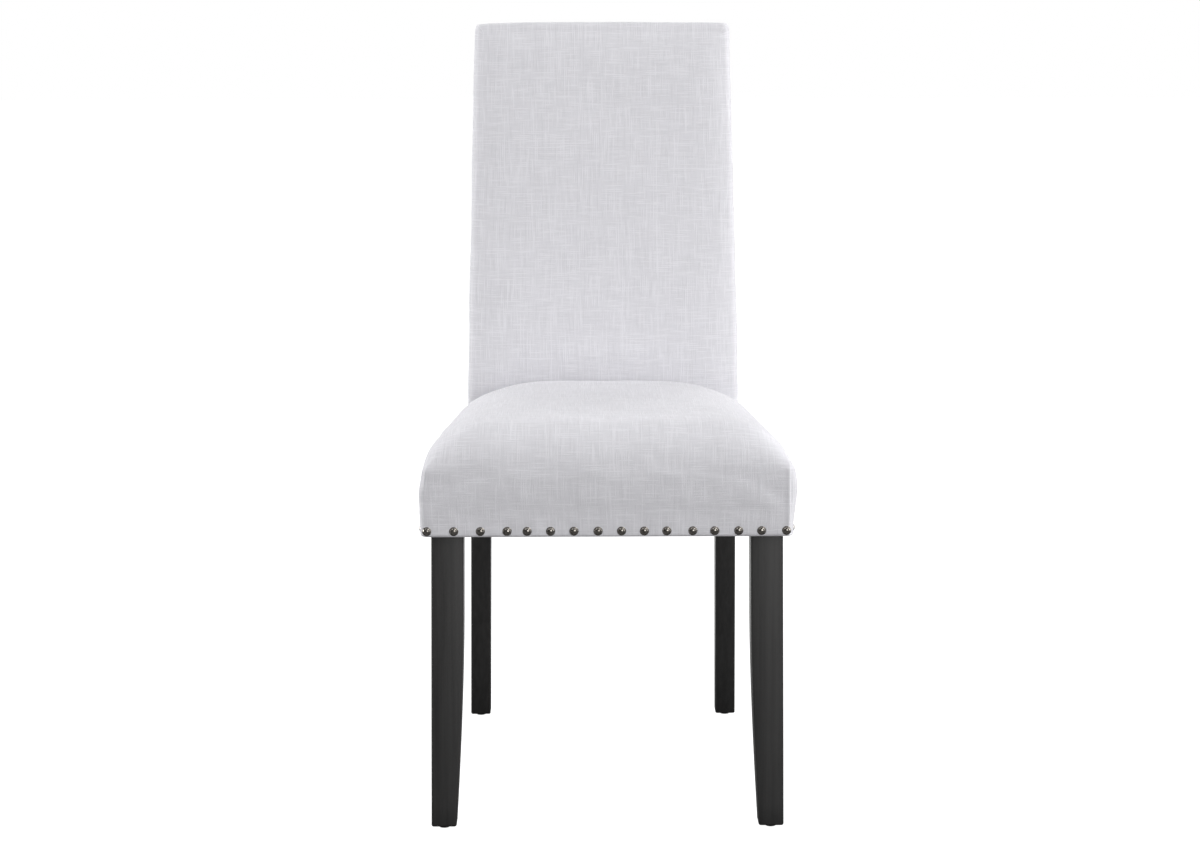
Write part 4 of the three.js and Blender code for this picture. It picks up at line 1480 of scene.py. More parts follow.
@dataclass
class BackCushion(Part):
    """The padded cloth over the back's front, sides and top, with a mitred fold at each top corner."""

    corner: float = 0.0118
    corner_reach: float = 0.0075
    corner_square: float = 0.5
    pitch: float = 0.0068
    edge_steps: Steps = (0.0, 0.0018, 0.0040, 0.0066, 0.0096, 0.0130, 0.0170)
    side_levels: Steps = (0.3712, 0.374, 0.378, 0.384, 0.391, 0.398, 0.405, 0.412, 0.419, 0.426, 0.432,
                          0.437, 0.4405, 0.4426, 0.4455, 0.4480, 0.4491)
    hem: float = 0.4493
    hem_steps: Steps = (0.0, 0.003, 0.007)
    crown_start: float = 0.9
    margin: float = 0.012
    soft_sides: float = 0.0036
    soft_top: float = 0.0048
    soft_reach: float = 0.028
    broad_swell: float = 0.00045
    fine_swell: float = 0.00014
    fold_depth: float = 0.0004
    fold_lip: float = 0.00025
    fold_length: float = 0.019

    def rows(self) -> tuple[Array, int]:
        """Heights of the rows, and how many lie below the front's hem."""
        low = [self.lines.seat_edge, *self.side_levels]
        rise = self.lines.back_top - self.hem
        high = self.hem + Stretch(rise, self.hem_steps, self.edge_steps, self.pitch).lines()
        return np.array([*low, *high]), len(low)

    def front(self, x: Array, z: Array) -> Array:
        """Depth of the padded front.

        Args:
            x: places across.
            z: heights.

        Returns:
            The depth at each place, with the pillow and the soft edges.
        """
        lines = self.lines
        rise = lines.pillow_rise
        full = share_of((z - lines.bend_z) / rise) * share_of((lines.top - z) / rise)
        pillow = lines.pillow * full * (1 - (x / lines.back_half(z)) ** 2)
        side = lines.back_half(z) - lines.edge_round - np.abs(x)
        fade = smooth_step((z - self.hem) / 0.03)
        at_side = self.soft_sides * fade * (1 - share_of(side / self.soft_reach)) ** 2
        at_top = self.soft_top * (1 - share_of((lines.back_top - z) / self.soft_reach)) ** 2
        return lines.back_front(z) - pillow + np.hypot(at_side, at_top)

    def front_edge(self, z: Array) -> Array:
        """Depth of the side cloth's front edge, below the front's hem.

        Args:
            z: heights.

        Returns:
            The depth at each height, from the post's front to the back's front.
        """
        lines = self.lines
        shelf = lines.shelf + lines.fit
        ledge = float(lines.post_front(shelf))
        along = share_of((z - shelf) / (self.hem - shelf))
        return np.where(z <= shelf, lines.post_front(z), ledge + (lines.back_front(self.hem) - ledge) * along)

    def lattice(self) -> Lattice:
        """Join the front's grid and its walls in one lattice.

        Returns:
            The back's lattice, in the frame.
        """
        lines = self.lines
        heights, below = self.rows()
        radius = lines.edge_round
        widest = float(lines.back_half(self.hem)) - radius
        across = Stretch(widest, self.edge_steps, (0.0,), self.pitch).both_ways() / widest
        s, z = np.meshgrid(across, heights)
        half = lines.back_half(z) - radius
        x = s * half
        top_z = heights[-1]
        a, b = round_corner(half - np.abs(x), top_z - z, self.corner - radius)
        x = np.sign(s) * (half - a)
        crown = lines.top_crown * (1 - s ** 2) * share_of((z - self.crown_start) / (top_z - self.crown_start))
        z = top_z - b + crown
        y = self.front(x, z)
        rows, columns = z.shape
        for edge, way in ((0, -1), (columns - 1, 1)):
            x[:below, edge] = way * lines.back_half(z[:below, edge])
            y[:below, edge] = self.front_edge(z[:below, edge])
        top = np.stack([x, y, z], axis=-1)
        outline = ([(r, columns - 1) for r in range(rows)]
                   + [(rows - 1, c) for c in range(columns - 2, 0, -1)]
                   + [(r, 0) for r in range(rows - 1, -1, -1)])
        edge = top[tuple(zip(*outline))]
        ghost = np.array([spot[0] < below for spot in outline])
        normal = self.outward(edge)
        rings = np.array([edge] + [self.ring(edge, ghost, normal, inset, along, dip)
                                   for inset, along, dip in self.profile()])
        flat = lay_flat(top)
        flat[:below, 0, 0] = flat[below, 0, 0]
        flat[:below, -1, 0] = flat[below, -1, 0]
        flat[..., 1] = flat[:, [columns // 2], 1]
        ways = [(1.0, 0.0)] * (rows - 1) + [(0.0, 1.0)] * (columns - 1) + [(-1.0, 0.0)] * rows
        wall_flat = flat_walls(flat, outline, rings, ways, [None] * len(outline))
        shift = np.array([0, lines.front_y, 0])
        return Lattice(top + shift, outline, rings[1:] + shift, False, flat, wall_flat)

    def outward(self, edge: Array) -> Array:
        """The direction across and up in which the walls leave the front, at each point of its outline.

        Args:
            edge: the outline's places.

        Returns:
            Vectors in X and Z, longer at the top corners, which are square rather than round.
        """
        lines = self.lines
        x, z = edge[:, 0], edge[:, 2]
        in_side = lines.back_half(z) - lines.edge_round - np.abs(x)
        below = lines.back_top - z
        turn = np.where(below > in_side, share_of(1 - below / self.corner_reach),
                        2 - share_of(1 - in_side / self.corner_reach)) * math.pi / 4
        across, up = np.cos(turn), np.sin(turn)
        longer = np.maximum(across, up) ** -self.corner_square
        return np.stack([np.sign(x) * across * longer, up * longer], axis=-1)

    def profile(self) -> list[Triple]:
        """The walls' rings: how far each is drawn in, how far back it lies, and how deep it is tucked."""
        radius = self.lines.edge_round
        made = []
        for angle in (70, 50, 30, 14, 0):
            turn = math.radians(angle)
            made.append((radius * (1 - math.cos(turn)), radius * (1 - math.sin(turn)), 0.0))
        for share in (0.16, 0.33, 0.5, 0.67, 0.84, 1.0):
            made.append((0.0, 1.0 + share, 0.0))
        for angle in (18, 38, 58, 76, 90):
            turn = math.radians(angle)
            made.append((radius * (1 - math.cos(turn)), 2.0 + radius * math.sin(turn), 0.0))
        made += [(self.margin - 0.0002, 2.0 + radius, 0.0), (self.margin + 0.0004, 2.0 + radius, 0.0016),
                 (self.margin + 0.006, 2.0 + radius, 0.0022)]
        return made

    def ring(self, edge: Array, ghost: Array, normal: Array, inset: float, along: float,
             dip: float) -> Array:
        """One ring of the walls.

        Args:
            edge: the front's outline.
            ghost: which of its points lie below the front's hem.
            normal: the way out at each point.
            inset: how far the ring is drawn in.
            along: metres back from the front below 1; 1 to 2 over the side; 2 and on round the rear.
            dip: how far the ring is tucked in from the rear.

        Returns:
            The ring's places.
        """
        lines = self.lines
        radius = lines.edge_round
        out = np.where(ghost, -inset if along >= 2 else 0.0, radius - inset)
        x = edge[:, 0] + normal[:, 0] * out
        z = edge[:, 2] + normal[:, 1] * out
        rear = lines.back_rear(z)
        start = np.where(ghost, edge[:, 1], edge[:, 1] + radius)
        wall_end = rear - radius
        if along < 1:
            steps = radius - along
            y = np.where(ghost, edge[:, 1] + (wall_end - edge[:, 1]) * along / (4 * radius), start - steps)
        elif along <= 2:
            from_y = np.where(ghost, edge[:, 1] + (wall_end - edge[:, 1]) / 4, start)
            y = from_y + (wall_end - from_y) * (along - 1)
        else:
            y = wall_end + (along - 2) - dip
        return np.stack([x, y, z], axis=-1)

    def held(self, places: Array) -> Array:
        """How firmly the cloth is held: over the wooden posts at its sides and rear, and at its hem.

        Args:
            places: the cloth's points.

        Returns:
            A share for each point, from 0 where it is free to 1 where it is pinned.
        """
        x, y, z = places.T
        lines = self.lines
        rim = np.minimum(lines.back_half(z) - np.abs(x), lines.top - z)
        side = smooth_step((0.030 - rim) / 0.020)
        low = share_of((self.hem + 0.012 - z) / 0.008)
        behind = share_of((y - lines.front_y - lines.back_front(z) - 0.018) / 0.012)
        return np.maximum(np.maximum(side, low), behind)

    def detail(self, places: Array, normals: Array) -> Array:
        """Work the small forms into the fine mesh: soft swells and the folds at the top corners.

        Args:
            places: the cloth's points.
            normals: the cloth's normals.

        Returns:
            The new places.
        """
        lines = self.lines
        x, y, z = places.T
        rise = (self.broad_swell * undulation(x, y, z, 0.11, 21)
                + self.fine_swell * undulation(x, y, z, 0.026, 5))
        across = lines.back_half(z) - np.abs(x)
        down = lines.top - lines.top_crown - z
        off = (across - down) / math.sqrt(2)
        near = smooth_step((self.fold_length - np.hypot(across, down)) / 0.006)
        groove, lip = bell(off + 0.0002, 0.0007), bell(off - 0.0016, 0.0013)
        rise += near * (-self.fold_depth * groove + self.fold_lip * lip)
        return places + normals * rise[:, None]

    def build(self) -> Piece:
        """Make the back's cloth.

        Returns:
            The finished back.
        """
        lattice = self.lattice()
        piece = lattice.to_mesh("back_cushion")
        self.drop_hidden(piece, lattice)
        ClothWork(piece).pad(self.held, self.detail, self.lines.cloth)
        dress(piece, self.finishes.linen, ("back_cover", "back_foam"))
        return piece

    def drop_hidden(self, piece: Piece, lattice: Lattice) -> None:
        """Delete the grid's faces below the front's hem, where the seat stands.

        Args:
            piece: the lattice's object.
            lattice: the lattice it was made from.
        """
        columns = lattice.top.shape[1]
        count = self.rows()[1] * (columns - 1)
        made = bmesh.new()
        made.from_mesh(piece.data)
        made.faces.ensure_lookup_table()
        bmesh.ops.delete(made, geom=made.faces[:count], context="FACES")
        made.to_mesh(piece.data)
        made.free()


@dataclass
class RearPanel(Part):
    """The cloth panel that closes the back from behind, with its edges turned in."""

    inset: float = 0.0083
    bottom_gap: float = 0.0004
    top: float = 0.9727
    turned: float = 0.0035
    edge: float = 0.0016
    edge_round: float = 0.0024
    edge_steps: Steps = (0.0, 0.0005, 0.0012, 0.0022, 0.0040, 0.0075)
    pitch: float = 0.008
    set_in: float = 0.0004
    swell: float = 0.0016
    swell_reach: float = 0.05
    uneven: float = 0.0005
    thinner: float = 0.8

    def build(self) -> Piece:
        """Make the panel.

        Returns:
            The finished panel.
        """
        lines = self.lines
        bottom = lines.seat_edge + self.bottom_gap
        up = Stretch(self.top - bottom, self.edge_steps, self.edge_steps, self.pitch).lines()
        widest = float(lines.post_outer(bottom)) - self.inset
        across = Stretch(widest, self.edge_steps, (0.0,), self.pitch).both_ways() / widest
        s, t = np.meshgrid(across, up)
        z = bottom + t
        x = s * (lines.post_outer(z) - self.inset)
        side = (1 - np.abs(s)) * widest
        rim = np.minimum(np.minimum(side, t), self.top - bottom - t)
        roll = self.edge * (1 - fullness(rim, self.edge_round))
        mound = (self.swell * fullness(rim, self.swell_reach)
                 + self.uneven * undulation(x, z, z, 0.12, 8) * share_of(rim / 0.02))
        y = lines.back_rear(z) - self.set_in - roll + mound
        grid = self.turn_in(np.stack([x, y, z], axis=-1))
        grid[..., 1] += lines.front_y
        u, v = arc_lengths(grid, 1), arc_lengths(grid, 0)
        piece = panel_grid("back_rear_cloth", grid, np.stack([u, v], axis=-1))
        work = ClothWork(piece)
        work.refine()
        work.thicken(lines.cloth * self.thinner)
        edit(piece, bpy.ops.mesh.flip_normals)
        dress(piece, self.finishes.linen, ("back_rear_panel", "back_rear_wadding"))
        return piece

    def turn_in(self, grid: Array) -> Array:
        """Add one line of cloth all round that turns in, towards the back's frame.

        Args:
            grid: the panel's places.

        Returns:
            The grid with one more row and column at each side.
        """
        for axis in (1, 0):
            low, high = np.take(grid, [0], axis), np.take(grid, [-1], axis)
            low[..., 1] -= self.turned
            high[..., 1] -= self.turned
            grid = np.concatenate([low, grid, high], axis=axis)
        return grid


@dataclass
class DustCover(Part):
    """The thin black cloth stapled under the seat, with a notch at each front leg."""

    legs: list[Piece]
    inset: float = 0.012
    pitch: float = 0.010
    thickness: float = 0.0007
    rail_gap: float = 0.0004
    drop: float = 0.0006
    slack: float = 0.0011
    uneven: float = 0.0005
    notch_gap: float = 0.0016
    notch_behind: float = 0.0012
    notch_size: Pair = (0.046, 0.042)
    staple_pitch: float = 0.034
    staple_in: float = 0.007
    staple_crown: float = 0.0100
    staple_wire: float = 0.0006
    staple_turn: float = 9.0
    staple_shift: float = 0.0008
    leg_clear: float = 0.060
    rear_clear: float = 0.012

    @property
    def level(self) -> float:
        """Height of the cloth at its edges."""
        return self.lines.seat_edge - self.rail_gap - self.drop

    def build(self) -> Piece:
        """Make the cloth under the seat, a little slack away from its edges.

        Returns:
            The finished dust cover.
        """
        lines = self.lines
        rear = float(lines.seat_plane(lines.seat_edge)) - self.inset
        front = self.inset
        widest = lines.seat_front_width / 2
        across = np.linspace(-1, 1, 2 * round(widest / self.pitch) + 1)
        steps = np.linspace(front, rear, round((rear - front) / self.pitch) + 1)
        s, y = np.meshgrid(across, steps)
        half = lines.flank(y) + lines.bow(y) - self.inset
        x = s * half
        rim = np.minimum(np.minimum(half - np.abs(x), y - front), rear - y)
        slack = (self.slack * share_of(rim / 0.06)
                 + self.uneven * undulation(x, y, y * 0.3, 0.07, 15) * share_of(rim / 0.03))
        grid = np.stack([x, y + lines.front_y, self.level - slack], axis=-1)
        piece = panel_grid("dust_cloth", grid, np.stack([x, y], axis=-1))
        self.notch(piece)
        edit(piece, bpy.ops.mesh.flip_normals)
        ClothWork(piece).thicken(self.thickness)
        dress(piece, self.finishes.dust, ("dust_cover",))
        return piece

    def notch(self, piece: Piece) -> None:
        """Cut the cloth clear of both front legs."""
        made = bmesh.new()
        made.from_mesh(piece.data)
        for leg in self.legs:
            low, high = leg_plan(leg)
            inner = low.x if low.x > 0 else high.x
            edge = inner - math.copysign(self.notch_gap, inner)
            behind = high.y + self.notch_behind
            for where, way in (((edge, 0, 0), (1, 0, 0)), ((0, behind, 0), (0, 1, 0))):
                bmesh.ops.bisect_plane(made, geom=made.verts[:] + made.edges[:] + made.faces[:],
                                       plane_co=where, plane_no=way)
            taken = [face for face in made.faces
                     if (face.calc_center_median().x - edge) * inner > 0
                     and face.calc_center_median().y < behind]
            bmesh.ops.delete(made, geom=taken, context="FACES")
        made.to_mesh(piece.data)
        made.free()

    def staples(self) -> list[Piece]:
        """Staple the cloth along its four edges.

        Returns:
            One piece with a row of staples for each edge.
        """
        lines = self.lines
        inset = self.inset + self.staple_in
        rear = float(lines.seat_plane(lines.seat_edge)) - inset
        rows = {word: [] for word in ("front", "rear", "left", "right")}
        for word, y, clear in (("front", inset, self.leg_clear), ("rear", rear, self.rear_clear)):
            wide = float(lines.flank(y)) - inset - clear
            count = round(2 * wide / self.staple_pitch)
            rows[word] = [(x, y, 0.0) for x in np.arange(-wide, wide + 0.001, 2 * wide / count)]
        for y in np.arange(inset + self.leg_clear, rear - 0.01, self.staple_pitch):
            x = float(lines.flank(y)) - inset
            rows["left"].append((-x, y, 90.0))
            rows["right"].append((x, y, 90.0))
        dice = np.random.default_rng(31)
        return [self.staple_row(f"dust_staples_{word}", spots, dice) for word, spots in rows.items()]

    def staple_row(self, name: str, spots: list[Triple], dice: np.random.Generator) -> Piece:
        """Make one edge's staples as one piece.

        Args:
            name: the piece's name.
            spots: place and turn of each staple.
            dice: gives each staple its small error.

        Returns:
            The row of staples.
        """
        crown, wire = self.staple_crown, self.staple_wire
        shop = Workshop(name)
        bpy.ops.mesh.primitive_cube_add(size=1, location=(0, 0, 0))
        shop.start()
        shop.scale((crown, wire * 2, wire), (0, 0, 0))
        bpy.ops.mesh.subdivide(number_cuts=6)
        shop.pick(lambda place: abs(place.x) > crown * 0.42)
        bpy.ops.transform.translate(value=(0, 0, wire * 0.7))
        model = shop.close()
        shop.bevel(0.00018, 2)
        shop.smooth()
        z = self.level - self.thickness - wire * 0.35
        row = []
        for x, y, turn in spots:
            error = math.radians(turn + float(dice.normal(0, self.staple_turn)))
            place = Vector((x, y + self.lines.front_y + float(dice.normal(0, self.staple_shift)), z))
            move = Matrix.Translation(place) @ Matrix.Rotation(error, 4, "Z")
            row.append(copy_moved(model, f"{name}_one", move))
        bpy.data.objects.remove(model)
        choose(row[0])
        for staple in row:
            staple.select_set(True)
        bpy.ops.object.join()
        row[0].name = name
        return dress(row[0], self.finishes.steel)


def leg_plan(leg: Piece) -> tuple[Vector, Vector]:
    """Lowest and highest corner of a front leg just under the seat."""
    spots = [vert.co for vert in leg.data.vertices if 0.34 < vert.co.z < 0.3695]
    return (Vector((min(p.x for p in spots), min(p.y for p in spots), 0)),
            Vector((max(p.x for p in spots), max(p.y for p in spots), 0)))


@dataclass
class Legs(Part):
    """The tapered front legs and the rear posts that bend back at the seat, in black wood."""

    size: float = 0.040
    side_inset: float = 0.0131
    cant: float = 0.0089
    foot_taper: float = 0.009
    taper_start: float = 0.267
    taper_power: float = 1.6
    foot: float = 0.0035
    edge: float = 0.0026
    post_edge: float = 0.0024
    top_gap: float = 0.0003
    overshoot: float = 0.006
    rail_plane: float = 0.0259
    tongue_start: float = 0.004
    tongue_top: float = 0.4272
    tongue_in: float = 0.001
    tongue_out: float = 0.0018
    tongue_gap: float = 0.0004
    tongue_edge: float = 0.0004
    tongue_chamfer: float = 0.009

    @property
    def top(self) -> float:
        """Height at which the front legs meet the seat's cloth."""
        return self.lines.seat_edge - self.top_gap

    def front_section(self, side: Side, z: float) -> Section:
        """One level section of a front leg: its outer and front faces run straight, its inner ones taper.

        Args:
            side: the chair's side.
            z: the section's height.

        Returns:
            The section.
        """
        lines = self.lines
        outer = lines.seat_front_width / 2 - self.side_inset + self.cant * (self.top - z)
        share = float(share_of((self.taper_start - z) / self.taper_start))
        size = self.size - self.foot_taper * share ** self.taper_power
        front = lines.padding + lines.front_y
        return Section(z, *side.span(outer, outer - size), front, front + size)

    def tongue(self, side: Side) -> Piece:
        """Sweep the tongue that goes on from a front leg inside the seat.

        Args:
            side: the chair's side.

        Returns:
            The tongue, with its inner rear edge cut off.
        """
        lines = self.lines
        inner = lines.seat_front_width / 2 - self.side_inset - self.size + self.tongue_in
        outer = float(lines.flank(self.rail_plane)) - self.rail_plane - self.tongue_out
        front = self.rail_plane + self.tongue_gap + lines.front_y
        rear = lines.padding + self.size - self.tongue_gap + lines.front_y
        plan = (*side.span(inner, outer), front, rear)
        ends = [Section(z, *plan) for z in (self.top - self.tongue_start, self.tongue_top)]
        tongue = sweep("tongue", ends, self.tongue_edge)
        cut_flat(tongue, (side.value * (inner + self.tongue_chamfer), rear, 0), (-side.value, 1, 0))
        return tongue

    def front_leg(self, side: Side) -> Piece:
        """Sweep one front leg and join its tongue to it.

        Args:
            side: the chair's side.

        Returns:
            The leg.
        """
        heights = [self.foot, *np.linspace(0.03, self.taper_start, 9), 0.32, self.top]
        sections = [self.front_section(side, float(z)) for z in heights]
        sections.append(replace(sections[-1], z=self.top + self.overshoot))
        leg = sweep(f"front_leg_wood_{side.word}", sections, self.edge)
        cut_flat(leg, (0, 0, self.top), (0, 0, 1))
        tongue = self.tongue(side)
        joint = leg.modifiers.new("joint", "BOOLEAN")
        joint.operation = "UNION"
        joint.solver = "EXACT"
        joint.object = tongue
        apply_modifier(leg, joint)
        bpy.data.objects.remove(tongue)
        bpy.ops.object.shade_smooth_by_angle(angle=math.radians(40))
        return dress(leg, self.finishes.black_wood, (f"front_leg_{side.word}",))

    def post_section(self, side: Side, z: float) -> Section:
        """One level section of a rear post."""
        lines = self.lines
        outer = float(lines.post_outer(z))
        return Section(z, *side.span(outer, outer - lines.post_thickness),
                       float(lines.post_front(z)) + lines.front_y, float(lines.post_rear(z)) + lines.front_y)

    def rear_post(self, side: Side) -> Piece:
        """Sweep one rear post, leg and back's upright in one.

        Args:
            side: the chair's side.

        Returns:
            The post.
        """
        lines = self.lines
        bend = np.linspace(lines.knee_z - lines.ease, lines.knee_z + lines.ease, 9)
        heights = [self.foot, 0.08, 0.16, 0.24, 0.32, 0.38, *bend, 0.56, 0.68, 0.80, 0.90, lines.post_top]
        post = sweep(f"rear_post_wood_{side.word}", [self.post_section(side, float(z)) for z in heights],
                     self.post_edge)
        return dress(post, self.finishes.black_wood, (f"rear_post_{side.word}",))


@dataclass
class Glides:
    """The moulded glides under the legs, each with a rim and a shallow dish under it."""

    finishes: Finishes
    radius: float = 0.008
    rim: float = 0.0066
    height: float = 0.0035
    sides: int = 40

    def build(self) -> list[Piece]:
        """Make the four glides.

        Returns:
            The glides.
        """
        rim, radius = self.rim, self.radius
        profile = [(0.0032, 0.0009), (0.0045, 0.0003), (0.0052, 0.0), (rim - 0.0004, 0.0), (rim, 0.0002),
                   (radius - 0.0005, 0.0012), (radius, 0.0018), (radius, 0.0028), (radius - 0.0003, 0.0032),
                   (radius - 0.0012, self.height)]
        model = turn_profile("glide_model", profile, self.sides)
        made = []
        for end in ("front", "rear"):
            for side in Side:
                low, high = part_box(f"glide_{end}_{side.word}")
                place = Vector(((low.x + high.x) / 2, (low.y + high.y) / 2, 0.0))
                glide = place_copy(model, f"glide_foot_{end}_{side.word}", place, Vector((0, 0, 1)))
                made.append(dress(glide, self.finishes.glide, (f"glide_{end}_{side.word}",)))
        bpy.data.objects.remove(model)
        return made


@dataclass
class Nails(Part):
    """The domed nails along the seat's lower edge, each with a thin rim."""

    radius: float = 0.0056
    height: float = 0.0032
    sides: int = 24
    level: float = 0.377
    pressed: float = 0.0001
    lean: float = 0.02
    side_start: float = 0.022
    side_pitch: float = 0.0293
    side_end: float = 0.014
    front_shares: Steps = (
        -0.964, -0.82, -0.678, -0.535, -0.428, -0.303, -0.178, -0.049,
        0.076, 0.198, 0.318, 0.457, 0.574, 0.702, 0.825, 0.958)

    def places(self) -> list[tuple[str, Vector, Vector, Sequence[str]]]:
        """Where each nail stands.

        Returns:
            For each nail its name, place, outward direction and the CAD nodes that it stands for.
        """
        lines = self.lines
        half = lines.seat_front_width / 2
        made = []
        for k, share in enumerate(self.front_shares):
            place = Vector((share * half, lines.front_y + self.pressed, self.level))
            made.append((f"nail_front_{k + 1:02d}", place, Vector((0, -1, 0)), (f"seat_nail_{k + 1:02d}",)))
        last = float(lines.seat_plane(self.level)) - self.side_end
        count = int((last - self.side_start) / self.side_pitch) + 1
        for side in Side:
            way = Vector((side.value, lines.taper, 0))
            for k in range(count):
                y = self.side_start + k * self.side_pitch
                x = float(lines.flank(y) + lines.bow(y)) - self.pressed
                place = Vector((side.value * x, y + lines.front_y, self.level))
                made.append((f"nail_{side.word}_{k + 1:02d}", place, way, (f"seat_side_rail_{side.word}",)))
        return made

    def model(self) -> Piece:
        """Turn one nail: its shank, the rim that presses on the cloth, and the dome inside the rim."""
        r, h = self.radius, self.height
        shank = [(0.0003, -0.0125), (0.0009, -0.0100), (0.0010, -0.0006), (r * 0.90, -0.0003)]
        rim = [(r * 0.985, 0.0), (r, h * 0.09), (r * 0.985, h * 0.17), (r * 0.94, h * 0.22),
               (r * 0.88, h * 0.22)]
        dome = [(r * 0.83, h * 0.30), (r * 0.80, h * 0.42), (r * 0.68, h * 0.66), (r * 0.52, h * 0.84),
                (r * 0.33, h * 0.95), (r * 0.12, h)]
        return turn_profile("nail_model", shank + rim + dome, self.sides)

    def build(self) -> list[Piece]:
        """Copy the nail to each of its places.

        Returns:
            The nails.
        """
        model = self.model()
        made = []
        dice = np.random.default_rng(7)
        for name, place, outward, stands_for in self.places():
            lean = Vector((float(dice.normal(0, self.lean)), 0, float(dice.normal(0, self.lean))))
            nail = place_copy(model, name, place, outward.normalized() + lean)
            made.append(dress(nail, self.finishes.nickel, stands_for))
        bpy.data.objects.remove(model)
        return made


@dataclass
class SideRails(Part):
    """The seat's side rails, without the nail heads that the CAD model joins to them."""

    frame: dict
    inside: float = 0.0001

    def build(self) -> list[Piece]:
        """Copy each rail and cut it at its outer face.

        Returns:
            The two rails.
        """
        made = []
        for side in Side:
            node = self.frame["nodes"][f"seat_side_rail_{side.word}"]
            rail = bpy.data.objects.new(f"side_rail_wood_{side.word}", node.data.copy())
            bpy.context.collection.objects.link(rail)
            outer = self.lines.seat_front_width / 2 - self.lines.padding - self.inside
            cut_flat(rail, (side.value * outer, self.lines.front_y, 0), (side.value, self.lines.taper, 0))
            made.append(dress(rail, self.finishes.bare_wood, (f"seat_side_rail_{side.word}",)))
        return made


@dataclass
class HiddenFrame:
    """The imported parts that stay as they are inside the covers: only their surfaces are dressed."""

    finishes: Finishes
    frame: dict

    def dress(self) -> int:
        """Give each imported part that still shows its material.

        Returns:
            How many parts were dressed.
        """
        by_start = (
            (self.finishes.bare_wood, ("corner_block", "seat_front_rail", "seat_rear_rail", "back_lower_rail",
                                       "back_seat_rail", "back_middle_rail", "back_top_rail")),
            (self.finishes.plywood, ("seat_deck", "back_board")),
            (self.finishes.steel, ("leg_bolt", "leg_washer", "leg_nut", "seat_bolt", "seat_washer")),
        )
        count = 0
        for name, node in self.frame["nodes"].items():
            for material, starts in by_start:
                if name.startswith(starts) and not node.hide_render:
                    for slot in node.material_slots:
                        slot.material = material
                    count += 1
        return count


# Studio


@dataclass(frozen=True)
class Softbox:
    """One square studio light aimed at a place."""

    name: str
    place: Triple
    target: Triple
    size: float
    power: float

    def build(self) -> None:
        """Hang the light."""
        light = bpy.data.lights.new(self.name, "AREA")
        light.shape = "SQUARE"
        light.size = self.size
        light.energy = self.power
        lamp = bpy.data.objects.new(self.name, light)
        lamp.location = self.place
        way = Vector(self.target) - Vector(self.place)
        lamp.rotation_euler = way.to_track_quat("-Z", "Y").to_euler()
        bpy.context.collection.objects.link(lamp)


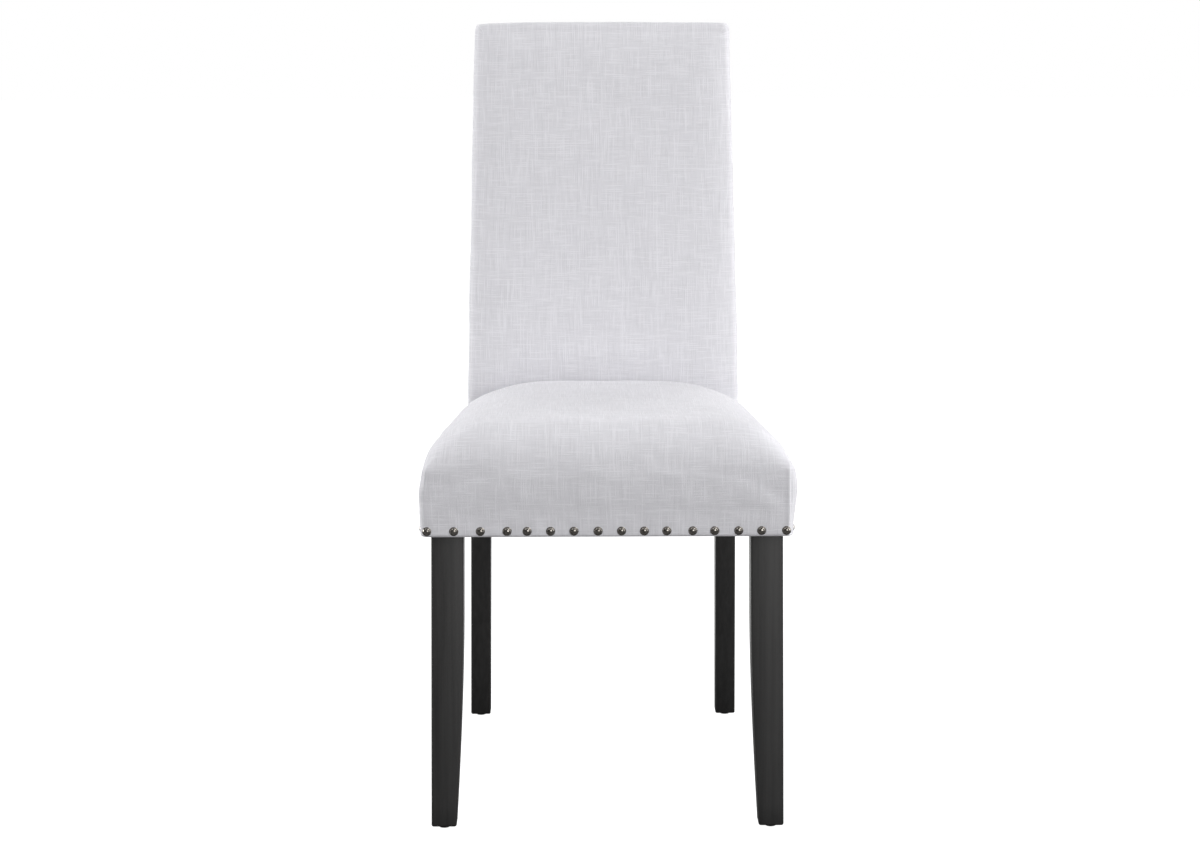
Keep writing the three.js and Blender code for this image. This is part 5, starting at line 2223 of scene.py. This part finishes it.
@dataclass
class Studio:
    """The plain pale floor, the soft lights and the camera at the photograph's angle."""

    finishes: Finishes
    lens: float = 85.0
    sensor: float = 36.0
    place: Triple = (-0.03869, -3.71051, 1.0016)
    pan: float = 0.506
    tilt: float = 8.268
    roll: float = -0.113
    surround: float = 0.158
    lights: tuple[Softbox, ...] = (
        Softbox("key_right", (3.7, -3.0, 5.2), (0, 0, 0.6), 3.0, 155),
        Softbox("key_left", (-3.4, -3.2, 5.2), (0, 0, 0.6), 3.0, 74),
        Softbox("front", (1.6, -6.2, 1.1), (0, 0, 0.5), 3.0, 145),
        Softbox("right", (4.6, 0.1, 1.2), (0, 0, 0.5), 2.4, 143),
        Softbox("left", (-4.6, 0.7, 1.2), (0, 0, 0.5), 2.4, 177),
        Softbox("overhead", (0.3, -1.2, 5.6), (0, 0, 0.6), 2.4, 32),
        Softbox("rim_right", (2.0, 4.2, 3.2), (0, 0, 0.6), 2.0, 80),
        Softbox("rim_left", (-1.7, 4.4, 3.2), (0, 0, 0.6), 2.0, 67),
    )

    def camera(self) -> None:
        """Stand the camera where the photograph was taken from."""
        data = bpy.data.cameras.new("camera")
        data.lens, data.sensor_width = self.lens, self.sensor
        camera = bpy.data.objects.new("camera", data)
        pan, tilt, roll = (math.radians(turn) for turn in (self.pan, self.tilt, self.roll))
        ahead = Vector((math.sin(pan), math.cos(pan), 0))
        right = Vector((math.cos(pan), -math.sin(pan), 0))
        up = Vector((0, 0, 1))
        look = ahead * math.cos(tilt) - up * math.sin(tilt)
        high = up * math.cos(tilt) + ahead * math.sin(tilt)
        across = right * math.cos(roll) + high * math.sin(roll)
        above = high * math.cos(roll) - right * math.sin(roll)
        axes = Matrix((across, above, -look)).transposed().to_4x4()
        camera.matrix_world = Matrix.Translation(self.place) @ axes
        bpy.context.collection.objects.link(camera)
        bpy.context.scene.camera = camera

    def floor(self) -> None:
        """Lay the floor."""
        bpy.ops.object.select_all(action="DESELECT")
        bpy.ops.mesh.primitive_plane_add(size=60, location=(0, 0, -0.0002))
        floor = bpy.context.object
        floor.name = "studio_floor"
        floor.data.materials.append(self.finishes.floor)

    def surroundings(self) -> None:
        """Make the room white to the camera and a soft fill to the chair."""
        world = bpy.data.worlds.new("studio")
        bpy.context.scene.world = world
        world.use_nodes = True
        tree = world.node_tree
        tree.nodes.clear()
        path = tree.nodes.new("ShaderNodeLightPath")
        seen, fill = tree.nodes.new("ShaderNodeBackground"), tree.nodes.new("ShaderNodeBackground")
        seen.inputs["Color"].default_value = (1, 1, 1, 1)
        fill.inputs["Strength"].default_value = self.surround
        fill.inputs["Color"].default_value = (0.98, 0.985, 1.0, 1)
        mix, output = tree.nodes.new("ShaderNodeMixShader"), tree.nodes.new("ShaderNodeOutputWorld")
        tree.links.new(path.outputs["Is Camera Ray"], mix.inputs["Fac"])
        tree.links.new(fill.outputs["Background"], mix.inputs[1])
        tree.links.new(seen.outputs["Background"], mix.inputs[2])
        tree.links.new(mix.outputs["Shader"], output.inputs["Surface"])

    def build(self) -> None:
        """Set up the whole studio."""
        self.camera()
        self.floor()
        self.surroundings()
        for light in self.lights:
            light.build()
        view = bpy.context.scene.view_settings
        view.view_transform = "Standard"
        view.look = "None"


def main(frame: dict) -> None:
    """Build the chair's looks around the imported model.

    Args:
        frame: the loaded frame.
    """
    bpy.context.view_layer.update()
    finishes = Finishes.make()
    lines = ChairLines.from_frame()
    legs = Legs(lines, finishes)
    front_legs = [legs.front_leg(side) for side in Side]
    for side in Side:
        legs.rear_post(side)
    log.info("legs: front legs and rear posts")
    Glides(finishes).build()
    nails = Nails(lines, finishes)
    log.info("nails: %d", len(nails.build()))
    SideRails(lines, finishes, frame).build()
    cushion = SeatCushion(lines, finishes, [place for _, place, _, _ in nails.places()])
    log.info("seat: %d faces", len(cushion.build().data.polygons))
    log.info("back: %d faces", len(BackCushion(lines, finishes).build().data.polygons))
    log.info("rear panel: %d faces", len(RearPanel(lines, finishes).build().data.polygons))
    under = DustCover(lines, finishes, front_legs)
    log.info("dust cover: %d faces", len(under.build().data.polygons))
    log.info("staples: %d rows", len(under.staples()))
    log.info("hidden frame: %d parts dressed", HiddenFrame(finishes, frame).dress())
    Studio(finishes).build()


if __name__ == "__main__":
    logging.basicConfig(level=logging.INFO, format="%(name)s: %(message)s")
    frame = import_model()
    main(frame)
